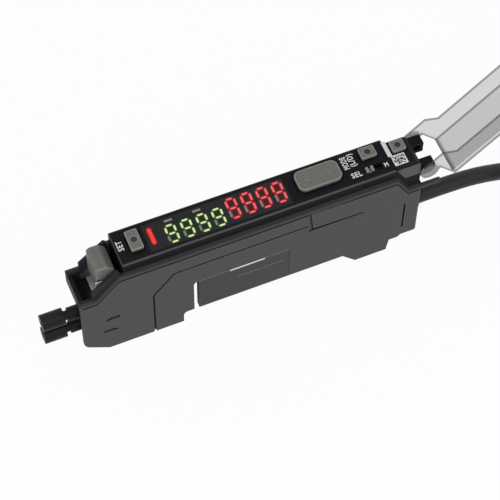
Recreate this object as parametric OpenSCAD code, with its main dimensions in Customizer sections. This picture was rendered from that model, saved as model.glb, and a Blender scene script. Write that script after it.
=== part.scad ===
// Slim digital fibre optic sensor amplifier for a 35 mm mounting rail.
// Frame: origin in the middle of the rail seat, +X towards the cable end,
// +Y towards the back, +Z up. All sizes are in millimetres.

/* [Case] */
// Distance from the rail centre to the fibre end
fibre_reach = 38.8; // [37:0.2:46]
// Distance from the rail centre to the cable end
cable_reach = 33; // [32.4:0.2:42]
// Width of the case
case_w = 8.9; // [8.7:0.1:12]
// Height of the shell's top edge above the rail seat
shell_h = 20.1; // [19.6:0.1:22]
// Drop of the shell's top edge at the fibre end
fibre_drop = 5.5; // [5:0.1:5.7]
// Drop of the shell's top edge at the cable end
cable_drop = 4.7; // [4.2:0.1:5]
// Length of the low shelf at the fibre end
fibre_shelf_l = 3.2; // [2.8:0.1:4]
// Length of the ramp at the fibre end
fibre_ramp_l = 4.8; // [4:0.1:5.4]
// Length of the low shelf at the cable end
cable_shelf_l = 3; // [2:0.1:4]
// Length of the ramp at the cable end
cable_ramp_l = 2.7; // [2:0.1:4]
// Thickness of the front cover
front_t = 1.2; // [1:0.05:1.4]
// Thickness of the rear case's walls
wall_t = 1.2; // [1:0.05:1.4]
// Thickness of the floor over the rail seat
floor_t = 1.3; // [1:0.1:2]
// Radius of the case's upright corners
corner_r = 0.8; // [0.4:0.1:0.9]

/* [Rail clip] */
// Width of the mounting rail
rail_w = 35; // [34.6:0.1:35.4]
// Play of the rail between the two feet
rail_play = 1; // [0.4:0.1:1.6]
// Depth of the feet below the rail seat
foot_h = 3.3; // [2.8:0.1:4]
// Length of the foot at the fibre end
fibre_foot_l = 15.8; // [12:0.2:17]
// Length of the foot at the cable end
cable_foot_l = 6.9; // [4:0.1:8]
// Length of the sloped lead-in on the cable-end foot
lead_l = 2.9; // [2:0.1:4]
// Slant of the outer side of the cable-end foot
foot_draft = 0.5; // [0.2:0.1:1]
// Length of the raised tail at the cable end
tail_l = 4.3; // [3:0.1:5]
// Height of the raised tail
tail_step = 0.65; // [0.3:0.05:1]
// Radius at the root of the fibre-end foot
hook_r = 1; // [0.5:0.1:1.2]
// Reach of the hook lips under the rail
lip_reach = 0.9; // [0.5:0.1:1.2]
// Height of the hook lips
lip_h = 1; // [0.8:0.1:1.2]
// How far the hook lips are set back from the front
lip_setback = 2.4; // [2:0.1:3]
// Distance from the fibre-end foot to the spring slit
slit_x = 2.3; // [1.6:0.1:3]
// Width of the spring slit
slit_w = 1.05; // [0.6:0.05:1.4]
// Height of the spring slit
slit_h = 10.1; // [8:0.1:11]
// Width of the spring pocket behind the front cover
pocket_w = 3.8; // [3:0.1:4.4]

/* [Front cover marks] */
// Width of the seam grooves
seam_w = 0.42; // [0.2:0.02:0.5]
// Depth of the seam grooves
seam_d = 0.4; // [0.1:0.05:0.5]
// Upright seam: distance from the rail centre
seam_x = 24.3; // [22:0.1:26]
// Height at which the upright seam turns
seam_turn_z = 10.5; // [9:0.1:12]
// Length of the slanted seam along the case
seam_slant_l = 4.6; // [3:0.1:6]
// Height of the long seam
seam_z = 16.2; // [15:0.1:17]
// End of the long seam, from the rail centre
seam_end = 8.5; // [6:0.1:10]
// Length of the tapered recess after the long seam
recess_l = 11.8; // [8:0.1:13]
// Lower edge of the tapered recess
recess_z = 13.9; // [13:0.1:15]
// Depth of the tapered recess at its deep end
recess_d = 0.2; // [0.1:0.05:0.3]
// Lean of the recess's deep end along the case
recess_lean = 0.7; // [0:0.1:1]
// Length of the two short slots
slot_l = 3; // [2:0.1:4]
// Height of the two short slots
slot_h = 0.9; // [0.5:0.05:1.1]
// Depth of the two short slots
slot_d = 0.85; // [0.5:0.05:0.9]
// Distance of the short slots from the fibre end
slot_x = 4.4; // [3:0.1:5]
// Height of the lower short slot
slot_z = 2.8; // [2:0.1:4]
// Distance between the short slots
slot_pitch = 4.25; // [3:0.05:5]
// Distance of the upright groove from the cable end
groove_x = 3.75; // [3:0.05:4.5]
// Length of the upright groove
groove_l = 8.5; // [6:0.1:9]
// Lower end of the upright groove
groove_z = 3.4; // [2:0.1:4]

/* [Labels] */
// Length of the rating label on the front cover
label_l = 19.4; // [12:0.1:21]
// Height of the rating label
label_h = 9.7; // [6:0.1:10]
// Height of the rating label's lower edge
label_z = 0.35; // [0.2:0.05:1]
// Thickness of both labels
label_t = 0.12; // [0.08:0.01:0.2]
// Length of the code label's block
code_l = 2.8; // [2:0.1:3]
// Width of the code label's block
code_w = 2.5; // [2:0.05:2.6]
// Width of the code label's strip
code_strip_w = 0.85; // [0.5:0.05:1]
// Length of the code label's strip
code_strip_l = 3.7; // [2:0.1:3.8]
// Distance from the display window to the code label
code_in = 21.65; // [21:0.05:22]
// Offset of the code label's block towards the front
code_front = 0.7; // [0.5:0.05:0.8]

/* [Top housing] */
// Height of the rim over the shell's top edge
rim_h = 1; // [0.6:0.1:1.4]
// Height of the panel over the shell's top edge
panel_rise = 4.6; // [4.2:0.1:5.4]
// Setback of the panel from the case's sides
shoulder = 0.55; // [0.5:0.05:0.7]
// Thickness of the panel
panel_t = 1; // [0.9:0.05:1.2]
// Thickness of the housing's side walls
side_t = 0.8; // [0.6:0.05:0.9]
// Length of the lever well
well_l = 9.1; // [9:0.1:10]
// Thickness of the wall between the well and the panel
bulkhead_t = 0.8; // [0.6:0.05:1]
// Length of the cheeks beside the lever
cheek_l = 5.8; // [5:0.1:6]
// Gap between the cheeks and the panel
cheek_gap = 0.7; // [0.5:0.05:0.9]
// Height of the cheeks' low ends over the fibre end's shelf
cheek_low = 3.3; // [2.4:0.1:3.6]
// Height of the cheeks' high ends over the shell's top edge
cheek_high = 2.6; // [2:0.1:2.8]
// Bevel on the cheeks' high ends
cheek_bevel = 0.45; // [0.2:0.05:0.6]
// Bevel along the panel's edges
panel_bevel = 0.45; // [0.2:0.05:0.6]
// Thickness of the lip over the fibre ports
port_lip_t = 0.9; // [0.6:0.1:1.2]
// Height of the lower edge of that lip
port_lip_z = 11.8; // [11.6:0.1:13]
// Setback of the port face from the fibre end
port_setback = 2.6; // [2:0.1:3]
// Distance from the panel's flat end to the cable end
panel_end = 1.8; // [1:0.1:2]
// Length of the panel's sloped end
end_slope_l = 2.2; // [2:0.1:3]
// Drop of the panel's sloped end
end_slope_drop = 2.7; // [2:0.1:3]
// Setback of the notch between the hinge ears from the cable end
notch_in = 0.6; // [0.3:0.1:1]
// Width of the notch between the hinge ears
notch_w = 3.3; // [2.6:0.1:3.8]
// Length of the side rails past the cable end
rail_over = 3.9; // [3:0.1:5]
// Length of the leaning facets at the panel's cable-end corners
facet_l = 4.6; // [4:0.1:5]
// How far the front facet leans in at its top
facet_d = 0.6; // [0.2:0.05:0.6]
// How far the back facet leans in at its top
back_facet_d = 1.3; // [1:0.05:1.35]
// Height of the facets
facet_h = 4.3; // [3.4:0.1:4.4]

/* [Display] */
// Length of the display window
window_l = 29; // [28.6:0.1:30]
// Width of the display window
window_w = 6.2; // [6:0.1:6.6]
// Thickness of the display window
window_t = 0.6; // [0.5:0.05:0.7]
// Distance from the well to the display window
window_x = 6.1; // [6:0.1:6.6]
// Offset of the display window towards the front
window_y = 0.3; // [0.1:0.05:0.35]
// Width of the ledge that carries the window
window_ledge = 0.5; // [0.4:0.05:0.6]
// Depth of the lit segments in the window
inlay_d = 0.3; // [0.2:0.05:0.4]
// Spacing of the digits
digit_pitch = 3.18; // [3:0.01:3.2]
// Height of the green digits between segment centres
green_h = 3.75; // [3:0.05:4]
// Height of the red digits between segment centres
red_h = 4.4; // [4:0.05:4.5]
// Width of the digits between segment centres
digit_w = 1.8; // [1.4:0.05:1.9]
// Width of a segment
segment_w = 0.48; // [0.4:0.02:0.56]
// Gap between neighbouring segments
segment_gap = 0.18; // [0.1:0.01:0.22]
// Slant of the digits in degrees
digit_slant = 1.5; // [0:0.5:6]
// Length of the output bar
bar_l = 4; // [3:0.1:4.5]
// Width of the output bar
bar_w = 0.95; // [0.5:0.05:1.05]
// Length of the indicator lenses
lens_l = 1.65; // [1:0.05:2]
// Width of the indicator lenses
lens_w = 0.5; // [0.3:0.05:0.7]
// Distance from the window's start to the output bar
bar_in = 1.25; // [1:0.05:1.6]
// Distance from the window's start to the first lens
lens_in = 5.4; // [4.5:0.1:6]
// Distance between the lenses
lens_pitch = 5.8; // [4:0.1:7]
// Offset of the lenses towards the back
lens_back = 2.05; // [1.9:0.05:2.2]
// Distance from the window's start to the first green digit
green_in = 5.1; // [4.8:0.05:5.2]
// Offset of the green digits towards the front
green_front = 0.95; // [0.9:0.01:1]
// Distance from the window's start to the first red digit
red_in = 17.9; // [17.8:0.05:18]
// Offset of the red digits and the output bar towards the front
red_front = 0.1; // [0:0.05:0.3]

/* [Controls] */
// Rise of the buttons over the panel
button_rise = 0.8; // [0.6:0.05:0.9]
// Travel of the buttons
button_travel = 0.3; // [0.2:0.05:0.35]
// Length of the set button
set_l = 2.5; // [2.2:0.05:2.8]
// Width of the set button
set_w = 4.5; // [3:0.1:4.8]
// Length of the mode button
mode_l = 3.2; // [2.8:0.1:3.4]
// Width of the mode button
mode_w = 2.5; // [2.2:0.1:2.6]
// Length of the select button
select_l = 2.8; // [2.4:0.1:2.9]
// Width of the select button
select_w = 2.6; // [2.2:0.05:2.7]
// Length of the rocker
rocker_l = 9; // [8:0.1:9.2]
// Width of the rocker
rocker_w = 4.6; // [4:0.1:4.8]
// Radius of the rocker's corners
rocker_r = 1.3; // [0.4:0.1:1.5]
// Rise of the rocker over the panel
rocker_rise = 0.95; // [0.6:0.05:1]
// Tilt of the rocker to either side in degrees
rocker_tilt = 4; // [2:0.5:4]
// Height of the arrow marks on the rocker
mark_h = 0.1; // [0.05:0.01:0.2]
// Length of the slide knob
knob_l = 1.6; // [1.4:0.1:1.8]
// Width of the slide knob
knob_w = 1.15; // [0.8:0.05:1.4]
// Rise of the slide knob over the panel
knob_rise = 0.35; // [0.2:0.05:0.6]
// Travel of the slide knob
knob_travel = 1.7; // [1:0.1:2]
// Distance from the panel's start to the set button
set_in = 3.85; // [3.6:0.05:4]
// Offset of the set button towards the back
set_back = 0.05; // [0:0.05:0.2]
// Distance from the display window to the rocker
rocker_in = 6.65; // [6.6:0.05:6.7]
// Offset of the rocker towards the back
rocker_back = 0.1; // [0:0.05:0.2]
// Distance from the display window to the mode button
mode_in = 17.7; // [17.4:0.1:17.9]
// Offset of the mode button towards the back
mode_back = 1.55; // [1.4:0.05:1.6]
// Distance from the display window to the select button
select_in = 23.8; // [23.6:0.1:24]
// Offset of the select button towards the back
select_back = 0.85; // [0.8:0.05:1]
// Distance from the display window to the slide knob
knob_in = 16.65; // [16.55:0.05:16.75]
// Offset of the slide knob towards the front
knob_front = 2; // [1.9:0.05:2]

/* [Fibre lock] */
// Width of the lever
lever_w = 5.5; // [4.8:0.1:5.6]
// Distance of the lever from the fibre end
lever_in = 4.1; // [4:0.05:4.2]
// Length of the lever along the case
lever_l = 3.8; // [3:0.1:4]
// Height of the lever's top under the panel's top
lever_low = 1.1; // [0.8:0.1:2]
// Length of the flat on the lever's top
lever_flat = 1.9; // [1.2:0.1:2.4]
// Distance of the lever pin from the fibre end
pin_x = 6.2; // [6:0.1:6.4]
// Height of the lever pin
pin_z = 15.2; // [15:0.1:15.6]
// Radius of the lever pin
pin_r = 0.6; // [0.5:0.05:0.7]
// Radius of the lever's hub
hub_r = 1.5; // [1.3:0.1:1.7]
// Thickness of the clamp spring
spring_t = 0.22; // [0.15:0.01:0.25]

/* [Fibre ports] */
// Height of the lower fibre port
port_z = 2.25; // [2.2:0.05:2.6]
// Distance between the fibre ports
port_pitch = 4.7; // [4.2:0.1:5]
// Radius of the fibre ports
port_r = 1.1; // [0.9:0.05:1.2]
// Radius of the bore for the fibre
fibre_r = 0.65; // [0.4:0.05:0.7]
// Depth of the fibre holder's seat in the floor
holder_sink = 1.5; // [1.4:0.05:2]
// Height of the fibre holder's top
holder_top = 12.5; // [12.1:0.1:12.8]
// Length of a sleeve's inner collar
collar_l = 4.2; // [3:0.1:5]
// Radius of a sleeve's inner collar
collar_r = 1.4; // [1.2:0.05:1.6]
// Length of the groove between collar and grip
neck_l = 0.9; // [0.6:0.1:1.4]
// Radius of the groove
neck_r = 0.95; // [0.85:0.05:1.1]
// Length of a sleeve's grip
grip_l = 4.6; // [3:0.1:6]
// Radius of a sleeve's grip
grip_r = 1.75; // [1.5:0.05:2]
// Length of a sleeve inside its port
plug_l = 5; // [3:0.1:6]

/* [Dust cover] */
// Angle of the cover at rest, measured from closed
cover_open = 138; // [120:1:140]
// Hinge distance past the cable end
hinge_x = 1.2; // [1:0.1:1.6]
// Height of the hinge over the shell's top edge
hinge_rise = 0.4; // [0.1:0.1:0.8]
// Radius of the hinge ears
ear_r = 1.4; // [1.2:0.05:1.5]
// Bevel on the upper corner of the hinge ears
ear_bevel = 0.3; // [0.1:0.05:0.5]
// Radius of the hinge stubs
stub_r = 0.8; // [0.6:0.05:0.9]
// Radius of the cover's arms round the hinge
arm_r = 1.9; // [1.7:0.05:2]
// Thickness of the cover's plate
cover_t = 0.8; // [0.6:0.05:1]
// Distance from the panel's start to the cover's free end
cover_in = 0.4; // [0.2:0.05:0.6]

/* [Boards] */
// Thickness of the circuit boards
board_t = 0.8; // [0.6:0.1:1]
// Depth of the main board's front face behind the middle plane
board_y = 1.9; // [1.8:0.05:2]
// Depth of the display board's underside below the panel's underside
board_drop = 2.8; // [2.7:0.05:2.9]
// Height of the tact switches
tact_h = 0.8; // [0.6:0.05:0.9]
// Side of the tact switches
tact_s = 2.2; // [1.6:0.1:2.4]
// Radius of the posts that carry the boards
post_r = 0.5; // [0.4:0.05:0.6]
// Radius of the emitter's and receiver's bodies
optic_r = 1.5; // [1.2:0.05:1.6]
// Length of the emitter's and receiver's bodies
optic_l = 3.4; // [2.5:0.1:3.6]

/* [Cable] */
// Diameter of the power cable
cable_d = 3.5; // [3:0.1:4]
// Height of the cable's exit
cable_z = 5.7; // [5:0.1:7]
// Radius of the gland's neck
gland_r = 2.2; // [2:0.05:2.4]
// How far the gland stands out of the case
gland_out = 1.2; // [0.8:0.1:2]
// Thickness of the gland's inner flange
gland_flange = 0.9; // [0.6:0.1:1.2]
// Distance from the cable's exit to the stored hank
lead_run = 45.8; // [40:0.2:60]
// Length of the hank's straight runs
hank_run = 58; // [53:1:70]
// Radius of the hank's folds at the middle of its turns
fold_r = 12.5; // [12:0.1:14]
// Turns side by side in the hank
hank_across = 2; // [2:1:2]
// Layers of turns in the hank
hank_layers = 5; // [5:1:5]
// Straight end of the sheath on top of the hank
end_run = 8; // [6:0.5:14]
// Width of the hank's tie
tie_w = 6; // [4:0.5:10]
// Thickness of the hank's tie
tie_t = 1; // [0.6:0.1:1.4]
// Place of the tie as a share of the straight runs
tie_share = 0.66; // [0.6:0.01:0.9]
// Diameter of one core's insulation
core_d = 1.1; // [0.9:0.05:1.15]
// Length of one core's insulation
core_l = 16; // [10:1:20]
// Diameter of a core's bare tip
tip_d = 0.7; // [0.4:0.05:0.8]
// Length of a core's bare tip
tip_l = 4; // [2:0.5:6]

/* [Clearances] */
// Clearance round the buttons and the rocker
button_gap = 0.15; // [0.1:0.01:0.18]
// Clearance under the panel over a button's flange
flange_gap = 0.1; // [0.05:0.01:0.15]
// Clearance of inner pieces in the case
seat_gap = 0.05; // [0.02:0.01:0.1]
// Radial clearance of pins and stubs
pin_gap = 0.05; // [0.03:0.01:0.08]
// Radial clearance of the sleeves in the ports
port_gap = 0.02; // [0.01:0.01:0.05]
// Clearance of the cover over the rim and the controls
cover_gap = 0.25; // [0.2:0.05:0.4]
// Clearance of the cover beside the panel
cover_side_gap = 0.1; // [0.08:0.01:0.15]
// Clearance of the cover's arms beside the ears
arm_gap = 0.2; // [0.1:0.02:0.3]

/* [Hidden] */
$fn = 48;
eps = 0.01;
far = 60;

// Ends, sides and split of the case
x_f = -fibre_reach;
x_c = cable_reach;
y_f = -case_w / 2;
y_b = case_w / 2;
y_split = y_f + front_t;
y_in = y_b - wall_t;
fibre_shelf_z = shell_h - fibre_drop;
cable_shelf_z = shell_h - cable_drop;
shell_top = [
    [x_f, fibre_shelf_z],
    [x_f + fibre_shelf_l, fibre_shelf_z],
    [x_f + fibre_shelf_l + fibre_ramp_l, shell_h],
    [x_c - cable_shelf_l - cable_ramp_l, shell_h],
    [x_c - cable_shelf_l, cable_shelf_z],
    [x_c, cable_shelf_z]
];
rim_top = [for (p = shell_top) p + [0, rim_h]];

// Rail clip
hook_x = (rail_w + rail_play) / 2;
slit_x0 = -hook_x + slit_x;
pocket_wall = 1.2;
pocket_top = 1.4;

// Top housing
px0 = x_f + well_l;
px1 = x_c - panel_end;
panel_y = y_b - shoulder;
panel_z = shell_h + panel_rise;
panel_in = panel_z - panel_t;
body_y = panel_y - side_t;
notch_x = x_c - notch_in;
body_x1 = notch_x - side_t;
rib_t = 0.95;
rib_y = body_y - rib_t;
ear_y0 = notch_w / 2;
ear_y1 = panel_y - arm_gap;

// Sizes that the display and the controls are drawn for, and how they follow the case
drawn_body_y = 3.1;
drawn_window_l = 29;
drawn_room = 25.8;
win_x0 = px0 + window_x;
win_x1 = win_x0 + window_l;
across = body_y / drawn_body_y;
along = window_l / drawn_window_l;
spread = (px1 - win_x1) / drawn_room;

// Display window and what is let into it
win_w = window_w * across;
win_y = window_y * across;
win_z0 = panel_z - window_t;
inlay_z = panel_z - inlay_d;
bar_tall = bar_l * across;
bar_x = win_x0 + bar_in * along;
bar_y = -red_front * across;
lens_y = lens_back * across;
lens_xs = [for (i = [0, 1]) win_x0 + (lens_in + i * lens_pitch) * along];
digit_wide = digit_w * along;
digit_step = digit_pitch * along;
green_x = win_x0 + green_in * along;
green_y = -green_front * across;
green_tall = green_h * across;
red_x = win_x0 + red_in * along;
red_y = -red_front * across;
red_tall = red_h * across;
DIGITS = 4;
LIT = [0, 1, 2, 3, 5, 6];
UNLIT = [4];
block_gap = 0.1;

// Controls: places along the panel and across it
set_at = [px0 + set_in, set_back * across];
set_size = [set_l, set_w * across];
rocker_at = [win_x1 + rocker_in * spread, rocker_back * across];
rocker_size = [rocker_l * spread, rocker_w * across];
mode_at = [win_x1 + mode_in * spread, mode_back * across];
mode_size = [mode_l * spread, mode_w * across];
select_at = [win_x1 + select_in * spread, select_back * across];
select_size = [select_l * spread, select_w * across];
knob_at = [win_x1 + knob_in * spread, -knob_front * across];
knob_size = [knob_l * spread, knob_w * across];
code_at = [win_x1 + code_in * spread, -code_front * across];
code_size = [code_l * spread, code_w * across];
code_strip = [code_strip_w * spread, code_strip_l * across];
hole_r = 0.3;
cap_flange = 0.35;
cap_trim = 0.4;
cap_flange_t = 0.5;
dimple_r = 0.65;
dimple_d = 0.3;
display_board_z = panel_in - board_drop;
board_top = display_board_z + board_t;
tact_top = board_top + tact_h;
stop_gap = 0.05;
cap_foot_z = tact_top + button_travel + stop_gap;
cap_foot_r = 0.6;
cap_z = panel_in + button_travel + stop_gap;
axle_r = 0.4;
axle_sink = 0.4;
axle_at = [rocker_at[0], panel_in - flange_gap - axle_r];
rocker_press = 3;
rocker_lift = rocker_size[0] / 2 * sin(rocker_tilt);
mark_x = 1.8;
mark_l = 1.1;
mark_w = 1.7;
knob_half = knob_size / 2;
knob_base = 0.4 * across;
knob_base_t = 0.5;

// Lever and its pin
pin_at = [x_f + pin_x, pin_z];
lever_top = panel_z - lever_low;
lever_half = lever_w / 2 * across;
lever_x0 = x_f + lever_in;
pin_sink = 0.65;
tab_ahead = 0.4;
tab_x = lever_x0 - tab_ahead;
tab_l = 1.4;
tab_rise = 5.5;
tab_top = fibre_shelf_z + tab_rise;
holder_z0 = floor_t - holder_sink;

// Dust cover, drawn closed
hinge_z = shell_h + hinge_rise;
hinge = [x_c + hinge_x, hinge_z];
cover_x0 = px0 + cover_in;
cover_under = panel_z + max(button_rise, rocker_rise + mark_h + rocker_lift) + cover_gap;
cover_top = cover_under + cover_t;
cover_x1 = hinge[0] - arm_r;
cover_y = panel_y + cover_side_gap;
stub_l = 1.3;

// Boards
board_in = 0.9;
board_end = 5;
board_lift = 0.3;
board_under = 0.8;
board_x0 = px0 + board_in;
board_x1 = x_c - board_end;
board_bottom = floor_t + board_lift;
board_head = shell_h - board_under;
board_front = board_y * across;
board_back = board_front + board_t;
header_x = 10;
header_l = 8;
header_w = 1.5;
post_in = 1.5;
post_past = 1.2;
post_rocker = 7;
post_out = 2.2;
post_xs = [px0 + post_in, win_x1 + post_past * spread, rocker_at[0] + post_rocker * spread];
post_y = post_out * across;
case_post_r = 1.2;

// Posts on the rear wall, as shares of the reach to either end and of the shell's height
POST_SHARES = [[-0.62, 0.3], [0, 0.7], [0.73, 0.5]];
case_posts = [for (s = POST_SHARES) [s[0] * (s[0] < 0 ? fibre_reach : cable_reach), s[1] * shell_h]];

// Cable, its hank and its route, laid on the surface that the feet stand on
flange_play = 0.15;
floor_z = -foot_h;
lie_z = floor_z + cable_d / 2;
exit_x = x_c + gland_out;
hank_wide = hank_across * cable_d;
hank_tall = hank_layers * cable_d;
hank_top = floor_z + hank_tall;
outer_fold = fold_r + hank_wide / 2 - cable_d / 2;
inner_fold = fold_r - hank_wide / 2 + cable_d / 2;
hank_at = [exit_x + lead_run, -outer_fold];
cable_sides = 8;

// Shares of the lead's length, with the share of its drop still to come
LEAD_SHARES = [
    [0, 1],
    [0.17, 1],
    [0.301, 0.92],
    [0.432, 0.69],
    [0.563, 0.39],
    [0.694, 0.13],
    [0.825, 0.01],
    [1, 0]
];
LEAD = [for (s = LEAD_SHARES) [exit_x + s[0] * lead_run, 0, lie_z + s[1] * (cable_z - lie_z)]];

// The end climbs out of the last fold, as angles with shares of one layer, and lies on top
CLIMB = [[150, 0], [138, 0.104], [126, 0.352], [114, 0.648], [102, 0.896], [90, 1]];
end_y = hank_at[1] + inner_fold;
end_z = hank_top + cable_d / 2;
TAIL = concat(
    [for (c = CLIMB) [
        hank_at[0] + inner_fold * cos(c[0]),
        hank_at[1] + inner_fold * sin(c[0]),
        end_z - (1 - c[1]) * cable_d
    ]],
    [for (share = [0.5, 1]) [hank_at[0] + share * end_run, end_y, end_z]]
);
core_fan = 3;
core_step = 1.15;
core_gap = 0.1;

// Extrudes an outline drawn in X and Z from one depth to another
module slab(y0, y1) {
    translate([0, y1, 0])
        rotate([90, 0, 0])
            linear_extrude(y1 - y0)
                children();
}

// Extrudes an outline drawn in Y and Z from one length to another
module run(x0, x1) {
    translate([x0, 0, 0])
        rotate([90, 0, 90])
            linear_extrude(x1 - x0)
                children();
}

// A box between two corners
module block(low, high) {
    translate(low)
        cube(high - low);
}

// A round bar along Y
module y_bar(at, y0, y1, r) {
    translate([at[0], y1, at[1]])
        rotate([90, 0, 0])
            cylinder(r = r, h = y1 - y0);
}

// A round bar along X
module x_bar(y, z, x0, x1, r) {
    translate([x0, y, z])
        rotate([0, 90, 0])
            cylinder(r = r, h = x1 - x0);
}

// A flat rectangle with round corners, from its centre
module round_rect(l, w, r) {
    square([l - 2 * r, w], center = true);
    square([l, w - 2 * r], center = true);
    for (sx = [-1, 1], sy = [-1, 1])
        translate([sx * (l / 2 - r), sy * (w / 2 - r)])
            circle(r);
}

function arc(cx, cz, r, a0, a1, n) =
    [for (i = [0:n]) [cx + r * cos(a0 + (a1 - a0) * i / n), cz + r * sin(a0 + (a1 - a0) * i / n)]];

// Side outline of the case with its feet and rail seat
module case_outline() {
    right_foot_x = hook_x + lead_l / 2;
    polygon(concat(
        shell_top,
        [
            [x_c, tail_step],
            [x_c - tail_l + tail_step, tail_step],
            [x_c - tail_l, 0],
            [right_foot_x + cable_foot_l + foot_draft, 0],
            [right_foot_x + cable_foot_l, -foot_h],
            [right_foot_x, -foot_h],
            [hook_x - lead_l / 2, 0]
        ],
        arc(-hook_x + hook_r, -hook_r, hook_r, 90, 180, 6),
        [
            [-hook_x, -foot_h],
            [-hook_x - fibre_foot_l, -foot_h],
            [x_f, 0]
        ]
    ));
}

// Keeps the case's upright corners round
module plan_prism() {
    translate([(x_f + x_c) / 2, 0, -far / 2])
        linear_extrude(far * 2)
            round_rect(x_c - x_f, case_w, corner_r);
}

// The slit that lets the fibre-end foot flex, with a round top
module slit(w) {
    polygon(concat(
        [[slit_x0, -foot_h], [slit_x0 + w, -foot_h], [slit_x0 + w, slit_h]],
        arc(slit_x0 + slit_w, slit_h - slit_w, slit_w, 90, 180, 6)
    ));
}

module rear_case() {
    color("#4c4c4e")
    difference() {
        intersection() {
            union() {
                slab(y_split, y_b) case_outline();
                for (low = [[-hook_x, lip_setback], [hook_x - lip_reach, lip_setback]])
                    block([low[0], y_f + low[1], -foot_h], [low[0] + lip_reach, y_b, lip_h - foot_h]);
                block(
                    [hook_x - eps, y_f + lip_setback, -foot_h],
                    [hook_x + lead_l / 2 + eps, y_b, lip_h - foot_h]
                );
            }
            plan_prism();
        }
        difference() {
            block([x_f + port_setback - eps, y_split - eps, floor_t], [x_c - wall_t, y_in, far]);
            block(
                [slit_x0 - pocket_wall, y_split - 2 * eps, 0],
                [slit_x0 + pocket_w + pocket_wall, y_in + eps, slit_h + pocket_top]
            );
            for (p = case_posts)
                y_bar(p, board_back, y_in + eps, case_post_r);
        }
        block([x_f - eps, y_split - eps, -far], [x_f + port_setback, y_b + eps, far]);
        block(
            [x_f + port_setback - eps, y_split - eps, holder_z0],
            [px0 + optic_l + seat_gap, y_in, floor_t + eps]
        );
        slab(y_split - eps, y_in) slit(pocket_w);
        slab(y_in - eps, y_b + eps) slit(slit_w);
        slab(y_b - seam_d, y_b + eps) rim_gap();
        x_bar(0, cable_z, x_c - wall_t - eps, x_c + eps, gland_r);
        y_bar(pin_at, y_in - eps, y_in + pin_sink, pin_r);
    }
}

// Seam that runs up from the foot, slants and follows the case
module seam() {
    path = [
        [-seam_x, -foot_h],
        [-seam_x, seam_turn_z],
        [-seam_x + seam_slant_l, seam_z],
        [seam_end, seam_z]
    ];
    polygon(concat(
        path,
        [[seam_end, seam_z - seam_w]],
        [[-seam_x + seam_slant_l + seam_w / 2, seam_z - seam_w]],
        [[-seam_x + seam_w, seam_turn_z - seam_w / 2]],
        [[-seam_x + seam_w, -foot_h]]
    ));
}

// Groove round the deep end and the lower edge of the tapered recess
module recess_edge() {
    corner_x = seam_end + recess_lean;
    polygon([
        [seam_end, shell_h],
        [corner_x, recess_z],
        [seam_end + recess_l, recess_z],
        [seam_end + recess_l, recess_z + seam_w],
        [corner_x + seam_w, recess_z + seam_w],
        [seam_end + seam_w, shell_h]
    ]);
}

// Groove between the shell's top edge and the rim
module rim_gap() {
    polygon(concat(shell_top, [for (i = [len(shell_top) - 1:-1:0]) shell_top[i] - [0, seam_w]]));
}

// A shallow recess in the front face that fades out along its length
module fading_recess(x, z, l, h, d, deep_end_first) {
    slant = atan2(d, l);
    translate([deep_end_first ? x : x + l, y_f + d, z])
        mirror([deep_end_first ? 0 : 1, 0, 0])
            rotate([0, 0, -slant])
                translate([0, -1, 0])
                    cube([l, 1, h]);
}

module front_cover() {
    color("#505052")
    difference() {
        intersection() {
            slab(y_f, y_split) case_outline();
            plan_prism();
        }
        slab(y_f - eps, y_split + eps) slit(slit_w);
        slab(y_f - eps, y_f + seam_d) {
            seam();
            recess_edge();
            rim_gap();
        }
        fading_recess(seam_end, recess_z, recess_l, shell_h, recess_d, true);
        for (i = [0, 1])
            fading_recess(x_f + slot_x, slot_z + i * slot_pitch, slot_l, slot_h, slot_d, i == 0);
        block(
            [x_c - groove_x, y_f - eps, groove_z],
            [x_c - groove_x + seam_w, y_f + seam_d, groove_z + groove_l]
        );
        block(
            [slit_x0 + slit_w, y_f - eps, label_z],
            [slit_x0 + slit_w + label_l, y_f + label_t, label_z + label_h]
        );
        y_bar(pin_at, y_split - pin_sink, y_split + eps, pin_r);
    }
}

// Everything above the shell's top edge
module above_shell() {
    polygon(concat(shell_top, [[x_c + far, cable_shelf_z], [x_c + far, far], [x_f, far]]));
}

// Cross-section of the raised panel with bevelled edges
module panel_section() {
    polygon([
        [-panel_y, 0],
        [panel_y, 0],
        [panel_y, panel_z - panel_bevel],
        [panel_y - panel_bevel, panel_z],
        [-panel_y + panel_bevel, panel_z],
        [-panel_y, panel_z - panel_bevel]
    ]);
}

// Side outline of the raised panel with its sloped end
module panel_outline(x_end) {
    slope = end_slope_drop / end_slope_l;
    polygon([
        [px0, cable_shelf_z],
        [px0, panel_z - panel_bevel],
        [px0 + panel_bevel, panel_z],
        [px1, panel_z],
        [x_end, panel_z - (x_end - px1) * slope],
        [x_end, cable_shelf_z]
    ]);
}

// One hinge ear, round below and square above
module ear_outline() {
    translate(hinge)
        circle(ear_r);
    polygon([
        [notch_x - ear_r, hinge_z - ear_r],
        [hinge[0], hinge_z - ear_r],
        [hinge[0], hinge_z],
        [hinge[0] + ear_r, hinge_z],
        [hinge[0] + ear_r, hinge_z + ear_r - ear_bevel],
        [hinge[0] + ear_r - ear_bevel, hinge_z + ear_r],
        [notch_x - ear_r, hinge_z + ear_r]
    ]);
}

// One cheek beside the lever, which climbs with the ramp
module cheek_outline() {
    x1 = px0 - cheek_gap;
    x0 = x1 - cheek_l;
    top = shell_h + cheek_high;
    intersection() {
        polygon([
            [x0, fibre_shelf_z],
            [x0, fibre_shelf_z + cheek_low],
            [x1 - cheek_bevel, top],
            [x1, top - cheek_bevel],
            [x1, fibre_shelf_z]
        ]);
        above_shell();
    }
}

// Opening for a control in the panel
module panel_hole(at, size, r) {
    translate([at[0], at[1], panel_in - eps])
        linear_extrude(panel_t + 2 * eps)
            round_rect(size[0] + 2 * button_gap, size[1] + 2 * button_gap, r);
}

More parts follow.
